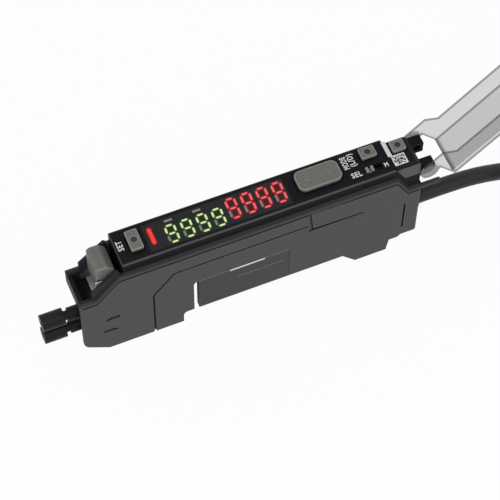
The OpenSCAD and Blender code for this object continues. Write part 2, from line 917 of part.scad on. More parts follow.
module top_housing() {
    color("#1e1e21")
    difference() {
        union() {
            intersection() {
                slab(-panel_y, panel_y)
                    intersection() {
                        panel_outline(notch_x);
                        above_shell();
                    }
                run(px0, x_c) panel_section();
            }
            slab(y_f, y_b)
                polygon(concat(shell_top, [for (i = [len(rim_top) - 1:-1:0]) rim_top[i]]));
            for (side = [-1, 1]) {
                edge = side * y_b;
                inner = side * ear_y1;
                block(
                    [x_c - eps, min(edge, inner), cable_shelf_z],
                    [x_c + rail_over, max(edge, inner), cable_shelf_z + rim_h]
                );
                slab(side > 0 ? ear_y0 : -ear_y1, side > 0 ? ear_y1 : -ear_y0)
                    ear_outline();
                slab(side > 0 ? y_in - eps : -panel_y, side > 0 ? panel_y : y_split + eps)
                    cheek_outline();
            }
            block(
                [px0, y_split + seat_gap, holder_top + seat_gap],
                [px0 + bulkhead_t, y_in - seat_gap, shell_h + eps]
            );
            block([x_f, y_split, port_lip_z], [x_f + port_setback, y_b, fibre_shelf_z + eps]);
            for (x = post_xs, side = [-1, 1])
                translate([x, side * post_y, board_top])
                    cylinder(r = post_r, h = panel_in - board_top + eps);
        }
        difference() {
            block([px0 + bulkhead_t, -body_y, cable_shelf_z - eps], [body_x1, body_y, panel_in]);
            block(
                [px1 - facet_l - side_t, rib_y, board_top + seat_gap],
                [body_x1 + eps, body_y + eps, panel_in + eps]
            );
            for (x = post_xs, side = [-1, 1])
                translate([x, side * post_y, board_top])
                    cylinder(r = post_r, h = panel_in - board_top + eps);
        }
        block([x_f + port_lip_t, y_split, holder_top], [px0 - eps, y_in, far]);
        block(
            [win_x0, -win_w / 2 - win_y, win_z0],
            [win_x1, win_w / 2 - win_y, far]
        );
        block(
            [win_x0 + window_ledge, -win_w / 2 - win_y + window_ledge, panel_in - eps],
            [win_x1 - window_ledge, win_w / 2 - win_y - window_ledge, far]
        );
        panel_hole(set_at, set_size, hole_r);
        panel_hole(mode_at, mode_size, hole_r);
        panel_hole(select_at, select_size, hole_r);
        panel_hole(rocker_at, rocker_size, rocker_r + button_gap);
        knob_block(button_gap, knob_travel, panel_in - eps, far);
        code_outline(panel_z - label_t, label_t + eps);
        y_bar(hinge, y_f, y_b, stub_r + pin_gap);
        y_bar(axle_at, -body_y - axle_sink, body_y + axle_sink, axle_r + pin_gap);
        facet(-1, facet_d);
        facet(1, back_facet_d);
    }
}

// A block round the slide knob's rest place, wider by a margin and longer by its travel
module knob_block(margin, travel, z0, z1) {
    block(
        [knob_at[0] - knob_half[0] - margin, knob_at[1] - knob_half[1] - margin, z0],
        [knob_at[0] + knob_half[0] + margin + travel, knob_at[1] + knob_half[1] + margin, z1]
    );
}

// The leaning facet at one of the panel's corners, over the end of the rim
module facet(side, lean) {
    ramp = cable_ramp_l / cable_drop * facet_h;
    intersection() {
        slab(min(side * y_b, 0), max(side * y_b, 0))
            polygon([
                [px1 - facet_l, panel_z + eps],
                [px1 - facet_l + ramp, panel_z - facet_h],
                [x_c, panel_z - facet_h],
                [x_c, panel_z + eps]
            ]);
        run(px0, x_c)
            polygon([
                [side * panel_y, panel_z - facet_h],
                [side * (panel_y - lean), panel_z + eps],
                [side * case_w, panel_z + eps],
                [side * case_w, panel_z - facet_h]
            ]);
    }
}

// The code label: a block with a strip along its side
module code_outline(z, t) {
    translate([code_at[0], code_at[1] - code_size[1], z])
        cube([code_size[0], code_size[1], t]);
    translate([code_at[0] - code_strip[0] / 2, code_at[1] - eps, z])
        cube([code_strip[0], code_strip[1], t]);
}

// One straight segment with pointed ends, from its centre, slanted with the digit
function segment(cx, cy, l, upright) =
    let (h = l / 2 - segment_gap, b = segment_w / 2, k = tan(digit_slant))
    [for (p = [[-h, 0], [b - h, b], [h - b, b], [h, 0], [h - b, -b], [b - h, -b]])
        let (q = upright ? [cx + p[1], cy + p[0]] : [cx + p[0], cy + p[1]])
        [q[0] + q[1] * k, q[1]]];

// Segment places in a digit, in the order top, upper right, lower right, bottom,
// lower left, upper left, middle
function digit_segments(h) = [
    segment(0, h / 2, digit_wide, false),
    segment(digit_wide / 2, h / 4, h / 2, true),
    segment(digit_wide / 2, -h / 4, h / 2, true),
    segment(0, -h / 2, digit_wide, false),
    segment(-digit_wide / 2, -h / 4, h / 2, true),
    segment(-digit_wide / 2, h / 4, h / 2, true),
    segment(0, 0, digit_wide, false)
];

// A row of digits with the chosen segments only
module digit_row(x, y, h, shown) {
    for (i = [0:DIGITS - 1], s = shown)
        translate([x + i * digit_step, y, inlay_z])
            linear_extrude(inlay_d)
                polygon(digit_segments(h)[s]);
}

module output_bar() {
    color("#ff3030")
    translate([bar_x, bar_y, inlay_z])
        linear_extrude(inlay_d) {
            square([bar_w, bar_tall - bar_w], center = true);
            for (side = [-1, 1])
                translate([0, side * (bar_tall - bar_w) / 2])
                    circle(bar_w / 2);
        }
}

module indicator_lenses() {
    color("#96968c")
    for (x = lens_xs)
        block(
            [x - lens_l / 2, lens_y - lens_w / 2, inlay_z],
            [x + lens_l / 2, lens_y + lens_w / 2, panel_z]
        );
}

module green_segments() {
    color("#d8ffb0")
    digit_row(green_x, green_y, green_tall, LIT);
}

module red_segments() {
    color("#ff5a60")
    digit_row(red_x, red_y, red_tall, LIT);
}

module dark_segments() {
    color("#77776e")
    union() {
        digit_row(green_x, green_y, green_tall, UNLIT);
        digit_row(red_x, red_y, red_tall, UNLIT);
    }
}

module display_window() {
    color("#0c0c0f")
    difference() {
        block(
            [win_x0, -win_w / 2 - win_y, win_z0],
            [win_x1, win_w / 2 - win_y, panel_z]
        );
        green_segments();
        red_segments();
        dark_segments();
        output_bar();
        indicator_lenses();
    }
}

// A button cap with a flange under the panel, a dimple and a foot over its switch
module cap(at, size) {
    flange_top = panel_in - flange_gap;
    top = panel_z + button_rise;
    stem_w = size[1] - 2 * cap_trim;
    difference() {
        union() {
            translate([at[0], at[1], cap_z])
                linear_extrude(top - cap_z)
                    round_rect(size[0], size[1], hole_r);
            translate([at[0], at[1], flange_top - eps])
                linear_extrude(cap_z - flange_top + 2 * eps)
                    square([size[0], stem_w], center = true);
            translate([at[0], at[1], flange_top - cap_flange_t])
                linear_extrude(cap_flange_t)
                    square([size[0] + 2 * cap_flange, stem_w], center = true);
            translate([at[0], at[1], cap_foot_z])
                cylinder(r = cap_foot_r, h = flange_top - cap_foot_z);
        }
        translate([at[0], at[1], top - dimple_d])
            cylinder(r = dimple_r, h = 1);
    }
}

module set_button() {
    color("#70706b") cap(set_at, set_size);
}

module mode_button() {
    color("#70706b") cap(mode_at, mode_size);
}

module select_button() {
    color("#70706b") cap(select_at, select_size);
}

module rocker() {
    top = panel_z + rocker_rise;
    color("#70706b")
    union() {
        translate([rocker_at[0], rocker_at[1], cap_z])
            linear_extrude(top - cap_z)
                round_rect(rocker_size[0], rocker_size[1], rocker_r);
        translate([rocker_at[0], rocker_at[1], cap_foot_z])
            linear_extrude(cap_z - cap_foot_z + eps)
                square([rocker_size[0] - 2 * cap_trim, rocker_size[1] - 2 * cap_trim], center = true);
        y_bar(axle_at, -body_y - axle_sink + pin_gap, body_y + axle_sink - pin_gap, axle_r);
        for (side = [-1, 1])
            translate([rocker_at[0] + side * mark_x, rocker_at[1], top - eps])
                linear_extrude(mark_h + eps)
                    polygon([[0, -mark_w / 2], [side * mark_l, 0], [0, mark_w / 2]]);
    }
}

module slide_knob() {
    base_top = panel_in - flange_gap;
    rib = knob_size[0] / 3;
    rib_x = knob_at[0] - knob_half[0];
    color("#8a8a84")
    union() {
        knob_block(knob_base, 0, base_top - knob_base_t, base_top);
        knob_block(0, 0, base_top - eps, panel_z - knob_rise);
        for (i = [0, 2])
            block(
                [rib_x + i * rib, knob_at[1] - knob_half[1], panel_z - knob_rise - eps],
                [rib_x + (i + 1) * rib, knob_at[1] + knob_half[1], panel_z + knob_rise]
            );
    }
}

module lock_lever() {
    color("#7c7c77")
    difference() {
        union() {
            slab(-lever_half, lever_half)
                polygon([
                    [lever_x0, pin_z + hub_r],
                    [lever_x0, lever_top - panel_bevel],
                    [lever_x0 + panel_bevel, lever_top],
                    [lever_x0 + panel_bevel + lever_flat, lever_top],
                    [lever_x0 + lever_l, lever_top - (lever_l - panel_bevel - lever_flat)],
                    [lever_x0 + lever_l, pin_z + 2 * hub_r],
                    [pin_at[0] + hub_r, pin_z],
                    [pin_at[0] - hub_r, pin_z]
                ]);
            y_bar(pin_at, -lever_half, lever_half, hub_r);
        }
        y_bar(pin_at, -case_w, case_w, pin_r + pin_gap);
    }
}

module lever_pin() {
    color("silver")
    y_bar(pin_at, y_split - pin_sink, y_in + pin_sink, pin_r);
}

module clamp_spring() {
    tab_y = y_split + seat_gap;
    color("#d8d8d4")
    union() {
        block(
            [tab_x, tab_y, holder_top],
            [pin_at[0] + hub_r, -tab_y, holder_top + spring_t]
        );
        block(
            [tab_x, tab_y, holder_top],
            [tab_x + tab_l, tab_y + spring_t, tab_top]
        );
    }
}

module fibre_holder() {
    color("#2c2c2e")
    difference() {
        block(
            [x_f + port_setback, y_split + seat_gap, holder_z0],
            [px0, y_in - seat_gap, holder_top]
        );
        for (i = [0, 1])
            x_bar(0, port_z + i * port_pitch, x_f, px0 + eps, port_r);
    }
}

// A fibre sleeve: plug in the port, collar, groove, grip and a bore for the fibre
module sleeve(i) {
    face = x_f + port_setback;
    neck_x = face - collar_l;
    grip_x = neck_x - neck_l;
    z = port_z + i * port_pitch;
    color("#1b1b1d")
    difference() {
        union() {
            x_bar(0, z, face - eps, face + plug_l, port_r - port_gap);
            x_bar(0, z, neck_x, face, collar_r);
            x_bar(0, z, grip_x - eps, neck_x + eps, neck_r);
            x_bar(0, z, grip_x - grip_l, grip_x, grip_r);
        }
        x_bar(0, z, grip_x - grip_l - eps, face + plug_l + eps, fibre_r);
    }
}

module upper_sleeve() {
    sleeve(1);
}

module lower_sleeve() {
    sleeve(0);
}

// A light emitter or receiver behind its port, with its foot on the main board
module optic(i) {
    z = port_z + i * port_pitch;
    union() {
        x_bar(0, z, px0, px0 + optic_l, optic_r);
        block([px0 + optic_l / 2, 0, z - optic_r / 2], [px0 + optic_l, board_front, z + optic_r / 2]);
    }
}

module light_emitter() {
    color("#c05050") optic(1);
}

module light_receiver() {
    color("#303038") optic(0);
}

module main_board() {
    color("#1f5a36")
    difference() {
        block([board_x0, board_front, board_bottom], [board_x1, board_back, board_head]);
        block(
            [slit_x0 - pocket_wall - seat_gap, 0, 0],
            [slit_x0 + pocket_w + pocket_wall + seat_gap, y_b, slit_h + pocket_top + seat_gap]
        );
    }
}

module display_board() {
    color("#1f5a36")
    block(
        [px0 + bulkhead_t + seat_gap, -body_y + seat_gap, display_board_z],
        [body_x1 - seat_gap, body_y - seat_gap, board_top]
    );
}

module board_header() {
    color("#202020")
    block(
        [header_x, board_back - header_w, board_head],
        [header_x + header_l, board_back, display_board_z]
    );
}

module tact_switches() {
    spots = concat(
        [set_at, mode_at, select_at],
        [for (side = [-1, 1]) rocker_at + [side * rocker_press * spread, 0]]
    );
    color("#303030")
    for (at = spots)
        translate([at[0] - tact_s / 2, at[1] - tact_s / 2, board_top])
            cube([tact_s, tact_s, tact_h]);
}

module slide_switch() {
    color("#b8b8b8")
    knob_block(knob_base, knob_travel, board_top, panel_in - flange_gap - knob_base_t - stop_gap);
}

// An LED block that lights one row of digits from under the window
module led_block(x, y, h) {
    half_l = digit_step / 2;
    half_w = (h + segment_w) / 2 - block_gap;
    block(
        [x - half_l + block_gap / 2, y - half_w, board_top],
        [x + (DIGITS - 1) * digit_step + half_l - block_gap / 2, y + half_w, panel_in - block_gap]
    );
}

module green_block() {
    color("#e8e8e0") led_block(green_x, green_y, green_tall);
}

module red_block() {
    color("#e8e8e0") led_block(red_x, red_y, red_tall);
}

// Side wall of the closed cover: over the rim, down its ramp and round the hinge
module cover_wall() {
    ramp_x = rim_top[3][0] + cover_gap;
    low = rim_top[3][1] + cover_gap;
    arm_low = hinge_z - arm_r;
    shoulder_z = hinge_z + arm_r * sin(45);
    translate(hinge)
        circle(arm_r);
    polygon([
        [cover_x0, low],
        [ramp_x, low],
        [ramp_x + (low - arm_low) * cable_ramp_l / cable_drop, arm_low],
        [hinge[0], arm_low],
        [hinge[0], hinge_z],
        [hinge[0] - arm_r * cos(45), shoulder_z],
        [cover_x1, shoulder_z],
        [cover_x1, cover_top],
        [cover_x0, cover_top]
    ]);
}

module dust_cover() {
    color([0.85, 0.87, 0.9, 0.4])
    translate([hinge[0], 0, hinge[1]])
        rotate([0, cover_open, 0])
            translate([-hinge[0], 0, -hinge[1]])
                union() {
                    block([cover_x0, y_f, cover_under], [cover_x1, y_b, cover_top]);
                    for (side = [-1, 1]) {
                        slab(side > 0 ? cover_y : y_f, side > 0 ? y_b : -cover_y)
                            cover_wall();
                        y_bar(
                            hinge,
                            side > 0 ? cover_y - stub_l : -cover_y - eps,
                            side > 0 ? cover_y + eps : -cover_y + stub_l,
                            stub_r
                        );
                    }
                    block([cover_x0, y_f, panel_z + cover_gap], [cover_x0 + cover_t, y_b, cover_top]);
                }
}

module rating_label() {
    color("#2b2b2d")
    block(
        [slit_x0 + slit_w, y_f, label_z],
        [slit_x0 + slit_w + label_l, y_f + label_t, label_z + label_h]
    );
}

module code_label() {
    color("white")
    code_outline(panel_z - label_t, label_t);
}

module cable_gland() {
    color("#1c1c1e")
    union() {
        x_bar(0, cable_z, x_c - wall_t - gland_flange, x_c + gland_out, gland_r);
        x_bar(0, cable_z, x_c - wall_t - gland_flange, x_c - wall_t, y_in - flange_play);
    }
}

function unit(v) = v / norm(v);
function way(path, i) =
    unit(path[min(i + 1, len(path) - 1)] - path[max(i - 1, 0)]);

// Points of a round tube swept along a path
function tube_points(path, r) = [
    for (i = [0:len(path) - 1], k = [0:cable_sides - 1])
        let (t = way(path, i))
        let (n = unit(cross(t, [0, 0, 1])))
        let (b = cross(n, t), a = 360 * (k + 0.5) / cable_sides)
        path[i] + r * cos(a) * n + r * sin(a) * b
];
function tube_faces(rings) = concat(
    [[for (k = [0:cable_sides - 1]) k]],
    [
        for (i = [0:rings - 2], k = [0:cable_sides - 1])
            let (m = (k + 1) % cable_sides, a = i * cable_sides, b = a + cable_sides)
            [a + m, a + k, b + k, b + m]
    ],
    [[for (k = [cable_sides - 1:-1:0]) (rings - 1) * cable_sides + k]]
);

module tube(path, r) {
    polyhedron(tube_points(path, r), tube_faces(len(path)), convexity = 4);
}

module power_cable() {
    color("#1a1a1c") tube(LEAD, cable_d / 2);
}

module cable_tail() {
    color("#1a1a1c") tube(TAIL, cable_d / 2);
}

// Cross-section of one side of the hank, at a distance from its middle
module hank_section(out) {
    translate([out, hank_tall / 2])
        round_rect(hank_wide, hank_tall, cable_d / 2);
}

module cable_coil() {
    color("#1a1a1c")
    translate([hank_at[0], hank_at[1], floor_z])
        union() {
            for (side = [-1, 1])
                run(-eps, hank_run + eps) hank_section(side * fold_r);
            rotate([0, 0, 90])
                rotate_extrude(angle = 180) hank_section(fold_r);
            translate([hank_run, 0, 0])
                rotate([0, 0, -90])
                    rotate_extrude(angle = 180) hank_section(fold_r);
        }
}

module coil_tie() {
    half_w = fold_r + hank_wide / 2;
    tie_x = hank_at[0] + tie_share * hank_run;
    color("#2a2a2a")
    difference() {
        block(
            [tie_x - tie_w / 2, hank_at[1] - half_w - tie_t, floor_z],
            [tie_x + tie_w / 2, hank_at[1] + half_w + tie_t, hank_top + tie_t]
        );
        block(
            [tie_x - tie_w, hank_at[1] - half_w + cable_d / 2, floor_z - eps],
            [tie_x + tie_w, hank_at[1] + half_w - cable_d / 2, hank_top]
        );
        cable_coil();
    }
}

// One core past the end of the sheath, fanned out flat on top of the hank
module core_place(i) {
    translate([hank_at[0] + end_run + core_gap, end_y + i * core_step, hank_top + core_d / 2])
        rotate([0, 90, i * core_fan])
            children();
}

module core(i) {
    core_place(i)
        cylinder(d = core_d, h = core_l);
}

module brown_core() {
    color("#6b3f22") core(-1);
}

module blue_core() {
    color("#2a4f9e") core(0);
}

module black_core() {
    color("#161616") core(1);
}

module core_tips() {
    color("#b87333")
    for (i = [-1, 0, 1])
        core_place(i)
            translate([0, 0, core_l])
                cylinder(d = tip_d, h = tip_l);
}

rear_case();
front_cover();
top_housing();
display_window();
green_segments();
red_segments();
dark_segments();
output_bar();
indicator_lenses();
set_button();
mode_button();
select_button();
rocker();
slide_knob();
lock_lever();
lever_pin();
clamp_spring();
fibre_holder();
upper_sleeve();
lower_sleeve();
light_emitter();
light_receiver();
main_board();
display_board();
board_header();
tact_switches();
slide_switch();
green_block();
red_block();
dust_cover();
rating_label();
code_label();
cable_gland();
power_cable();
cable_coil();
cable_tail();
coil_tie();
brown_core();
blue_core();
black_core();
core_tips();
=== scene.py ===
"""Looks of a slim digital fibre optic sensor amplifier, laid out as a Blender add-on."""
import math

import bmesh
import bpy
from bpy.props import FloatProperty, FloatVectorProperty, IntProperty, PointerProperty
from mathutils import Matrix, Vector


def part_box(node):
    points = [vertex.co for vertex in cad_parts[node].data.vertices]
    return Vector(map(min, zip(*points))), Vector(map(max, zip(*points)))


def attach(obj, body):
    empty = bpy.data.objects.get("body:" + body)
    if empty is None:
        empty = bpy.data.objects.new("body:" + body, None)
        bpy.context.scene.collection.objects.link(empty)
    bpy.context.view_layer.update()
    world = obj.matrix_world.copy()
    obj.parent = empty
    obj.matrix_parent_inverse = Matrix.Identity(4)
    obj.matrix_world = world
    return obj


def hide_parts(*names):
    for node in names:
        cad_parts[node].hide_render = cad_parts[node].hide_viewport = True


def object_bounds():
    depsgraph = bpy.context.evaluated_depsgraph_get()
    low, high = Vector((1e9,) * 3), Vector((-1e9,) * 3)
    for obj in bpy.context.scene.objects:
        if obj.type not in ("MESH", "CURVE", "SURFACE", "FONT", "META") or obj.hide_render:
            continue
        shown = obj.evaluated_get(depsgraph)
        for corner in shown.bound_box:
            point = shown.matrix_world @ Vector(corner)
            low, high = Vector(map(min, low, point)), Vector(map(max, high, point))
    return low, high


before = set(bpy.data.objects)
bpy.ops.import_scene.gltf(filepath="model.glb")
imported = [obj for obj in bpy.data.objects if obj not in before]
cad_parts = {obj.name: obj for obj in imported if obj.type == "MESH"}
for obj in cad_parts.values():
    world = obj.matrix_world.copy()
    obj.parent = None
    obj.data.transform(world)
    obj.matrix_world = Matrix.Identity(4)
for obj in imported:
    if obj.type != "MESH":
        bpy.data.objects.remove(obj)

bl_info = {
    "name": "Fibre amplifier looks",
    "version": (1, 0, 0),
    "blender": (4, 5, 0),
    "location": "3D View > Sidebar > Amplifier",
    "description": "Finishes, lettering, cable and studio for a rail-mounted fibre amplifier",
    "category": "Object",
}

MM = 0.001
CAD_LOW, CAD_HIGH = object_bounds()

# Camera: width and focal length of the photograph in pixels, and width of the sensor in millimetres
IMAGE_WIDTH = 500
FOCAL_PIXELS = 2003
SENSOR_WIDTH = 36

# Panel of the top housing, the ridges along its sides, where a highlight is painted, and the cheeks beside
# the lever
PANEL_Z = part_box("display_window")[1][2]
PANEL_Y = 3.9 * MM
PANEL_START = -29.7 * MM
SIDE_Y = PANEL_Y - 0.02 * MM
RIDGE_IN = 0.13 * MM
RIDGE_LOW = PANEL_Z - 0.95 * MM
RIDGE_BLUR = 0.05 * MM
CHEEK_X = PANEL_START - 0.1 * MM
CHEEK_Y = PANEL_Y - 0.7 * MM

# Rim of the top housing, into which the panel's walls fade: their painted shade lightens to the rim's grey
# as a painted highlight at their foot
RIM_Z = PANEL_Z - 3.6 * MM
RIM_START_Y = PANEL_Y + 0.01 * MM
RIM_FULL_Y = PANEL_Y + 0.03 * MM
WALL_FADE = 0.9 * MM

# Ramp and facets at the panel's cable end, with a highlight painted on the facets
NOTCH_X = 32.4 * MM
RAMP_X = 27.3 * MM
RAMP_L = 2.7 * MM
RAMP_DROP = 4.7 * MM
FACET_X = 26.6 * MM
FACET_LOW = PANEL_Z - 4.3 * MM
FACET_HIGH = PANEL_Z - 1.4 * MM
FACET_BLUR = 0.1 * MM
FACET_RUN = RAMP_L / RAMP_DROP
FRONT_FACET_Y = -3.28 * MM
BACK_FACET_Y = 2.62 * MM

# Hinge of the dust cover, where its clear walls are thickest
HINGE_X = 34.2 * MM
HINGE_Z = 20.5 * MM
ARM_R = 1.9 * MM
COVER_WALL_Y = 3.97 * MM
COVER_WALL_BLUR = 0.04 * MM
COVER_LEAN = math.radians(42)

# Moulded plastic: its slow unevenness, its spread of shade and gloss, the painted shade in its grooves, and
# the rise of its grain
CLOUD = 6 * MM
DEEP = 0.9
PALE = 1.12
GROOVE_SHADE = 0.1
GLOSS_SPREAD = 0.1
GRAIN_RISE = 0.08

# Route of the power cable from its exit to its hank, in metres
LEAD = [
    (0.0342, 0, 0.0057),
    (0.041986, 0, 0.0057),
    (0.0479858, 0, 0.00512),
    (0.0539856, 0, 0.0034525),
    (0.0599854, 0, 0.0012775),
    (0.0659852, 0, -0.0006075),
    (0.071985, 0, -0.0014775),
    (0.08, 0, -0.00155),
]


def from_srgb(red, green, blue):
    """Linear colour of an 8-bit screen colour."""
    def linear(value):
        share = value / 255
        return share / 12.92 if share <= 0.04045 else ((share + 0.055) / 1.055) ** 2.4
    return linear(red), linear(green), linear(blue)


def scaled(colour, factor):
    """A colour made deeper or paler."""
    return [min(1, part * factor) for part in colour]


def colour_setting(name, description, red, green, blue):
    """A colour that a user can change, given as a screen colour."""
    return FloatVectorProperty(
        name=name, description=description, subtype="COLOR", min=0, max=1,
        default=from_srgb(red, green, blue),
    )


def length_setting(name, description, default):
    """A length that a user can change, in metres."""
    return FloatProperty(name=name, description=description, default=default, unit="LENGTH", precision=5)


def share_setting(name, description, default):
    """A share from 0 to 1 that a user can change."""
    return FloatProperty(name=name, description=description, default=default, min=0, max=1, subtype="FACTOR")


def angle_setting(name, description, degrees):
    """An angle that a user can change."""
    return FloatProperty(name=name, description=description, default=math.radians(degrees), subtype="ANGLE")


def count_setting(name, description, default, least):
    """A number of turns or points that a user can change."""
    return IntProperty(name=name, description=description, default=default, min=least)


class CaseFinish(bpy.types.PropertyGroup):
    """Colours and grain of the moulded case."""

    shell: colour_setting("Shell", "Matt plastic of the two case halves", 76, 76, 78)
    # Painted highlight along the case's edges: its colour, share and width
    edge_highlight: colour_setting("Edge highlight", "Painted highlight on the case's edges", 98, 98, 100)
    painted_edge_light: share_setting("Highlight share", "Share of painted highlight on the case's edges", 0.6)
    highlight_w: length_setting("Highlight width", "Width of the painted highlight along the case's edges", 0.0004)
    housing: colour_setting("Housing", "Satin black plastic of the top housing", 27, 27, 30)
    # Painted shade on the sides of the panel
    wall: colour_setting("Wall", "Shaded sides of the panel", 16, 16, 18)
    rim: colour_setting("Rim", "Matt band round the top housing", 70, 70, 72)
    # Painted highlight along the ridges of the panel's sides
    ridge_highlight: colour_setting("Ridge", "Painted highlight along the ridges of the panel's sides", 82, 81, 83)
    # Painted highlight on the facets at the panel's cable end
    facet_highlight: colour_setting("Facet", "Painted highlight on the facets at the panel's cable end", 98, 97, 96)
    cheek: colour_setting("Cheek", "Cheeks beside the lever", 50, 50, 53)
    sleeve: colour_setting("Sleeve", "Rubbery plastic of the fibre sleeves", 16, 16, 18)
    steel: colour_setting("Steel", "Lever pin and clamp spring", 236, 234, 228)
    grain: length_setting("Grain", "Size of the moulded grain", 0.00016)
    edge: length_setting("Edge", "Rounding of moulded edges", 0.00012)
    # Width of the grooves that get painted shade
    groove_shade_w: length_setting("Crevice", "Width of the grooves that darken in their depth", 0.0005)
    clear: colour_setting("Clear", "Smoke tint of the clear dust cover", 36, 35, 39)
    # Painted shade along the edges of the dust cover, where clear plastic bends the light
    clear_edge_shade: colour_setting("Clear edge", "Painted shade along the edges of the dust cover", 84, 80, 86)
    clear_hub: colour_setting("Clear hub", "Scuffed hubs of the dust cover", 150, 148, 152)
    plate_film: share_setting("Plate film", "Share of light stopped at each face of the cover's plate", 0.26)
    wall_film: share_setting("Wall film", "Share of light stopped at each face of the cover's walls", 0.18)
    edge_shade_film: share_setting("Edge film", "Share of light stopped at the cover's edges", 0.75)


class DisplayFinish(bpy.types.PropertyGroup):
    """Colours of the lit display."""

    window: colour_setting("Window", "Tinted window over the display", 27, 29, 32)
    green: colour_setting("Green", "Lit segments of the first value", 230, 242, 186)
    green_edge: colour_setting("Green edge", "Edges of the green segments", 104, 146, 36)
    red: colour_setting("Red", "Lit segments of the second value", 242, 112, 120)
    red_edge: colour_setting("Red edge", "Edges of the red segments", 206, 18, 30)
    bar: colour_setting("Bar", "Lit output bar", 255, 56, 50)
    bar_edge: colour_setting("Bar edge", "Edges of the output bar", 164, 14, 18)
    unlit: colour_setting("Unlit", "Segments that are off", 150, 152, 146)
    lens: colour_setting("Lens", "Indicator lenses that are off", 152, 150, 140)
    green_haze: colour_setting("Green haze", "Light spilled round the first value", 44, 92, 14)
    red_haze: colour_setting("Red haze", "Light spilled round the second value", 190, 10, 24)
    bar_haze: colour_setting("Bar haze", "Light spilled round the output bar", 150, 8, 16)
    haze_w: length_setting("Haze width", "Width of the brightest haze beside a segment", 0.00045)
    digit_w: length_setting("Digit", "Width of a digit over its segments", 0.00228)


class ControlFinish(bpy.types.PropertyGroup):
    """Colours and lettering of the controls."""

    button: colour_setting("Button", "Warm grey of the buttons, the rocker and the lever", 111, 110, 106)
    pale: colour_setting("Pale", "Edges of the controls that catch the light", 176, 175, 168)
    dimple: colour_setting("Dimple", "Shaded dimple in the middle of a button", 62, 62, 60)
    dimple_r: length_setting("Dimple radius", "Radius of the dimple in a button", 0.00066)
    edge: length_setting("Edge", "Rounding of the controls' edges", 0.00028)
    edge_w: length_setting("Edge width", "Width of the paler edges of the controls", 0.0006)
    button_round: length_setting("Button rounding", "Modelled rounding of the buttons", 0.00015)
    lever_round: length_setting("Lever rounding", "Modelled rounding of the lever", 0.0002)
    ink: colour_setting("Ink", "Printed lettering", 240, 240, 243)
    letter_h: length_setting("Letters", "Size of the printed letters", 0.0016)
    ink_t: length_setting("Ink thickness", "Thickness of the printed letters", 0.00002)
    label: colour_setting("Label", "Bare rating label on the front", 58, 58, 60)
    # Painted shadow along the end of the rating label
    label_end_shadow: colour_setting("Label end", "Painted shadow along the end of the rating label", 26, 26, 28)
    # Thin printed line across the label's middle and painted highlight along its top edge
    rule_and_highlight: colour_setting("Rule", "Thin printed line and painted highlight along the top edge of the rating label", 150, 150, 152)
    bold_rule: colour_setting("Bold rule", "Bold printed line on the rating label", 250, 250, 251)
    code: colour_setting("Code", "White code label on the panel", 232, 233, 240)
    code_ink: colour_setting("Code ink", "Cells on the code label", 70, 72, 82)
    cell: length_setting("Cell", "Size of a cell on the code label", 0.00023)


class CableSizes(bpy.types.PropertyGroup):
    """Sizes and colours of the power cable."""

    diameter: length_setting("Diameter", "Outside diameter of the sheath", 0.0035)
    length: length_setting("Length", "Length of the sheath", 2.0)
    fold_r: length_setting("Fold radius", "Radius of the hank's folds at the middle of its turns", 0.0125)
    run: length_setting("Run", "Length of the hank's straight runs", 0.058)
    end_run: length_setting("End run", "Straight end of the sheath on top of the hank", 0.008)
    across: count_setting("Turns across", "Turns side by side in the hank", 2, 1)
    layers: count_setting("Layers", "Layers of turns in the hank", 5, 1)
    run_steps: count_setting("Run steps", "Points along one straight run", 6, 2)
    fold_steps: count_setting("Fold steps", "Points round one fold", 12, 6)
    sheath: colour_setting("Sheath", "Black sheath", 24, 24, 26)
    tie: colour_setting("Tie", "Strap round the hank", 34, 34, 36)
    brown: colour_setting("Brown", "Insulation of the first core", 104, 62, 36)
    blue: colour_setting("Blue", "Insulation of the second core", 38, 84, 170)
    black: colour_setting("Black", "Insulation of the third core", 22, 22, 23)
    copper: colour_setting("Copper", "Bare ends of the cores", 196, 124, 84)


class StageSizes(bpy.types.PropertyGroup):
    """Camera, floor and light."""

    eye: FloatVectorProperty(
        name="Eye", description="Place of the camera", subtype="TRANSLATION", unit="LENGTH",
        default=(-0.0859, -0.1920, 0.3448),
    )
    azimuth: angle_setting("Azimuth", "Turn of the view", 23.61)
    elevation: angle_setting("Elevation", "Tilt of the view", 58.18)
    roll: angle_setting("Roll", "Lean of the view", 1.02)
    floor: colour_setting("Floor", "Pale floor", 244, 244, 244)
    floor_white: share_setting("Floor white", "Share of plain white in the floor where it is seen", 0.95)
    key: FloatProperty(name="Key", description="Power of the key light", default=1.5, unit="POWER")
    fill: FloatProperty(name="Fill", description="Power of the fill light", default=0.6, unit="POWER")
    sky: FloatProperty(name="Sky", description="Strength of the surrounding light", default=0.52, min=0)


class Wire:
    """A node's output that takes part in plain arithmetic."""

    def __init__(self, nodes, socket):
        self.nodes = nodes
        self.socket = socket

    def join(self, operation, first, second):
        """A Math node on two values."""
        return self.nodes.node("ShaderNodeMath", {"operation": operation}, {0: first, 1: second})

    def __add__(self, other):
        return self.join("ADD", self, other)

    def __radd__(self, other):
        return self.join("ADD", other, self)

    def __sub__(self, other):
        return self.join("SUBTRACT", self, other)

    def __rsub__(self, other):
        return self.join("SUBTRACT", other, self)

    def __mul__(self, other):
        return self.join("MULTIPLY", self, other)

    def __rmul__(self, other):
        return self.join("MULTIPLY", other, self)

    def __gt__(self, other):
        return self.join("GREATER_THAN", self, other)

    def __lt__(self, other):
        return self.join("LESS_THAN", self, other)

    def __abs__(self):
        return self.join("ABSOLUTE", self, 0.0)


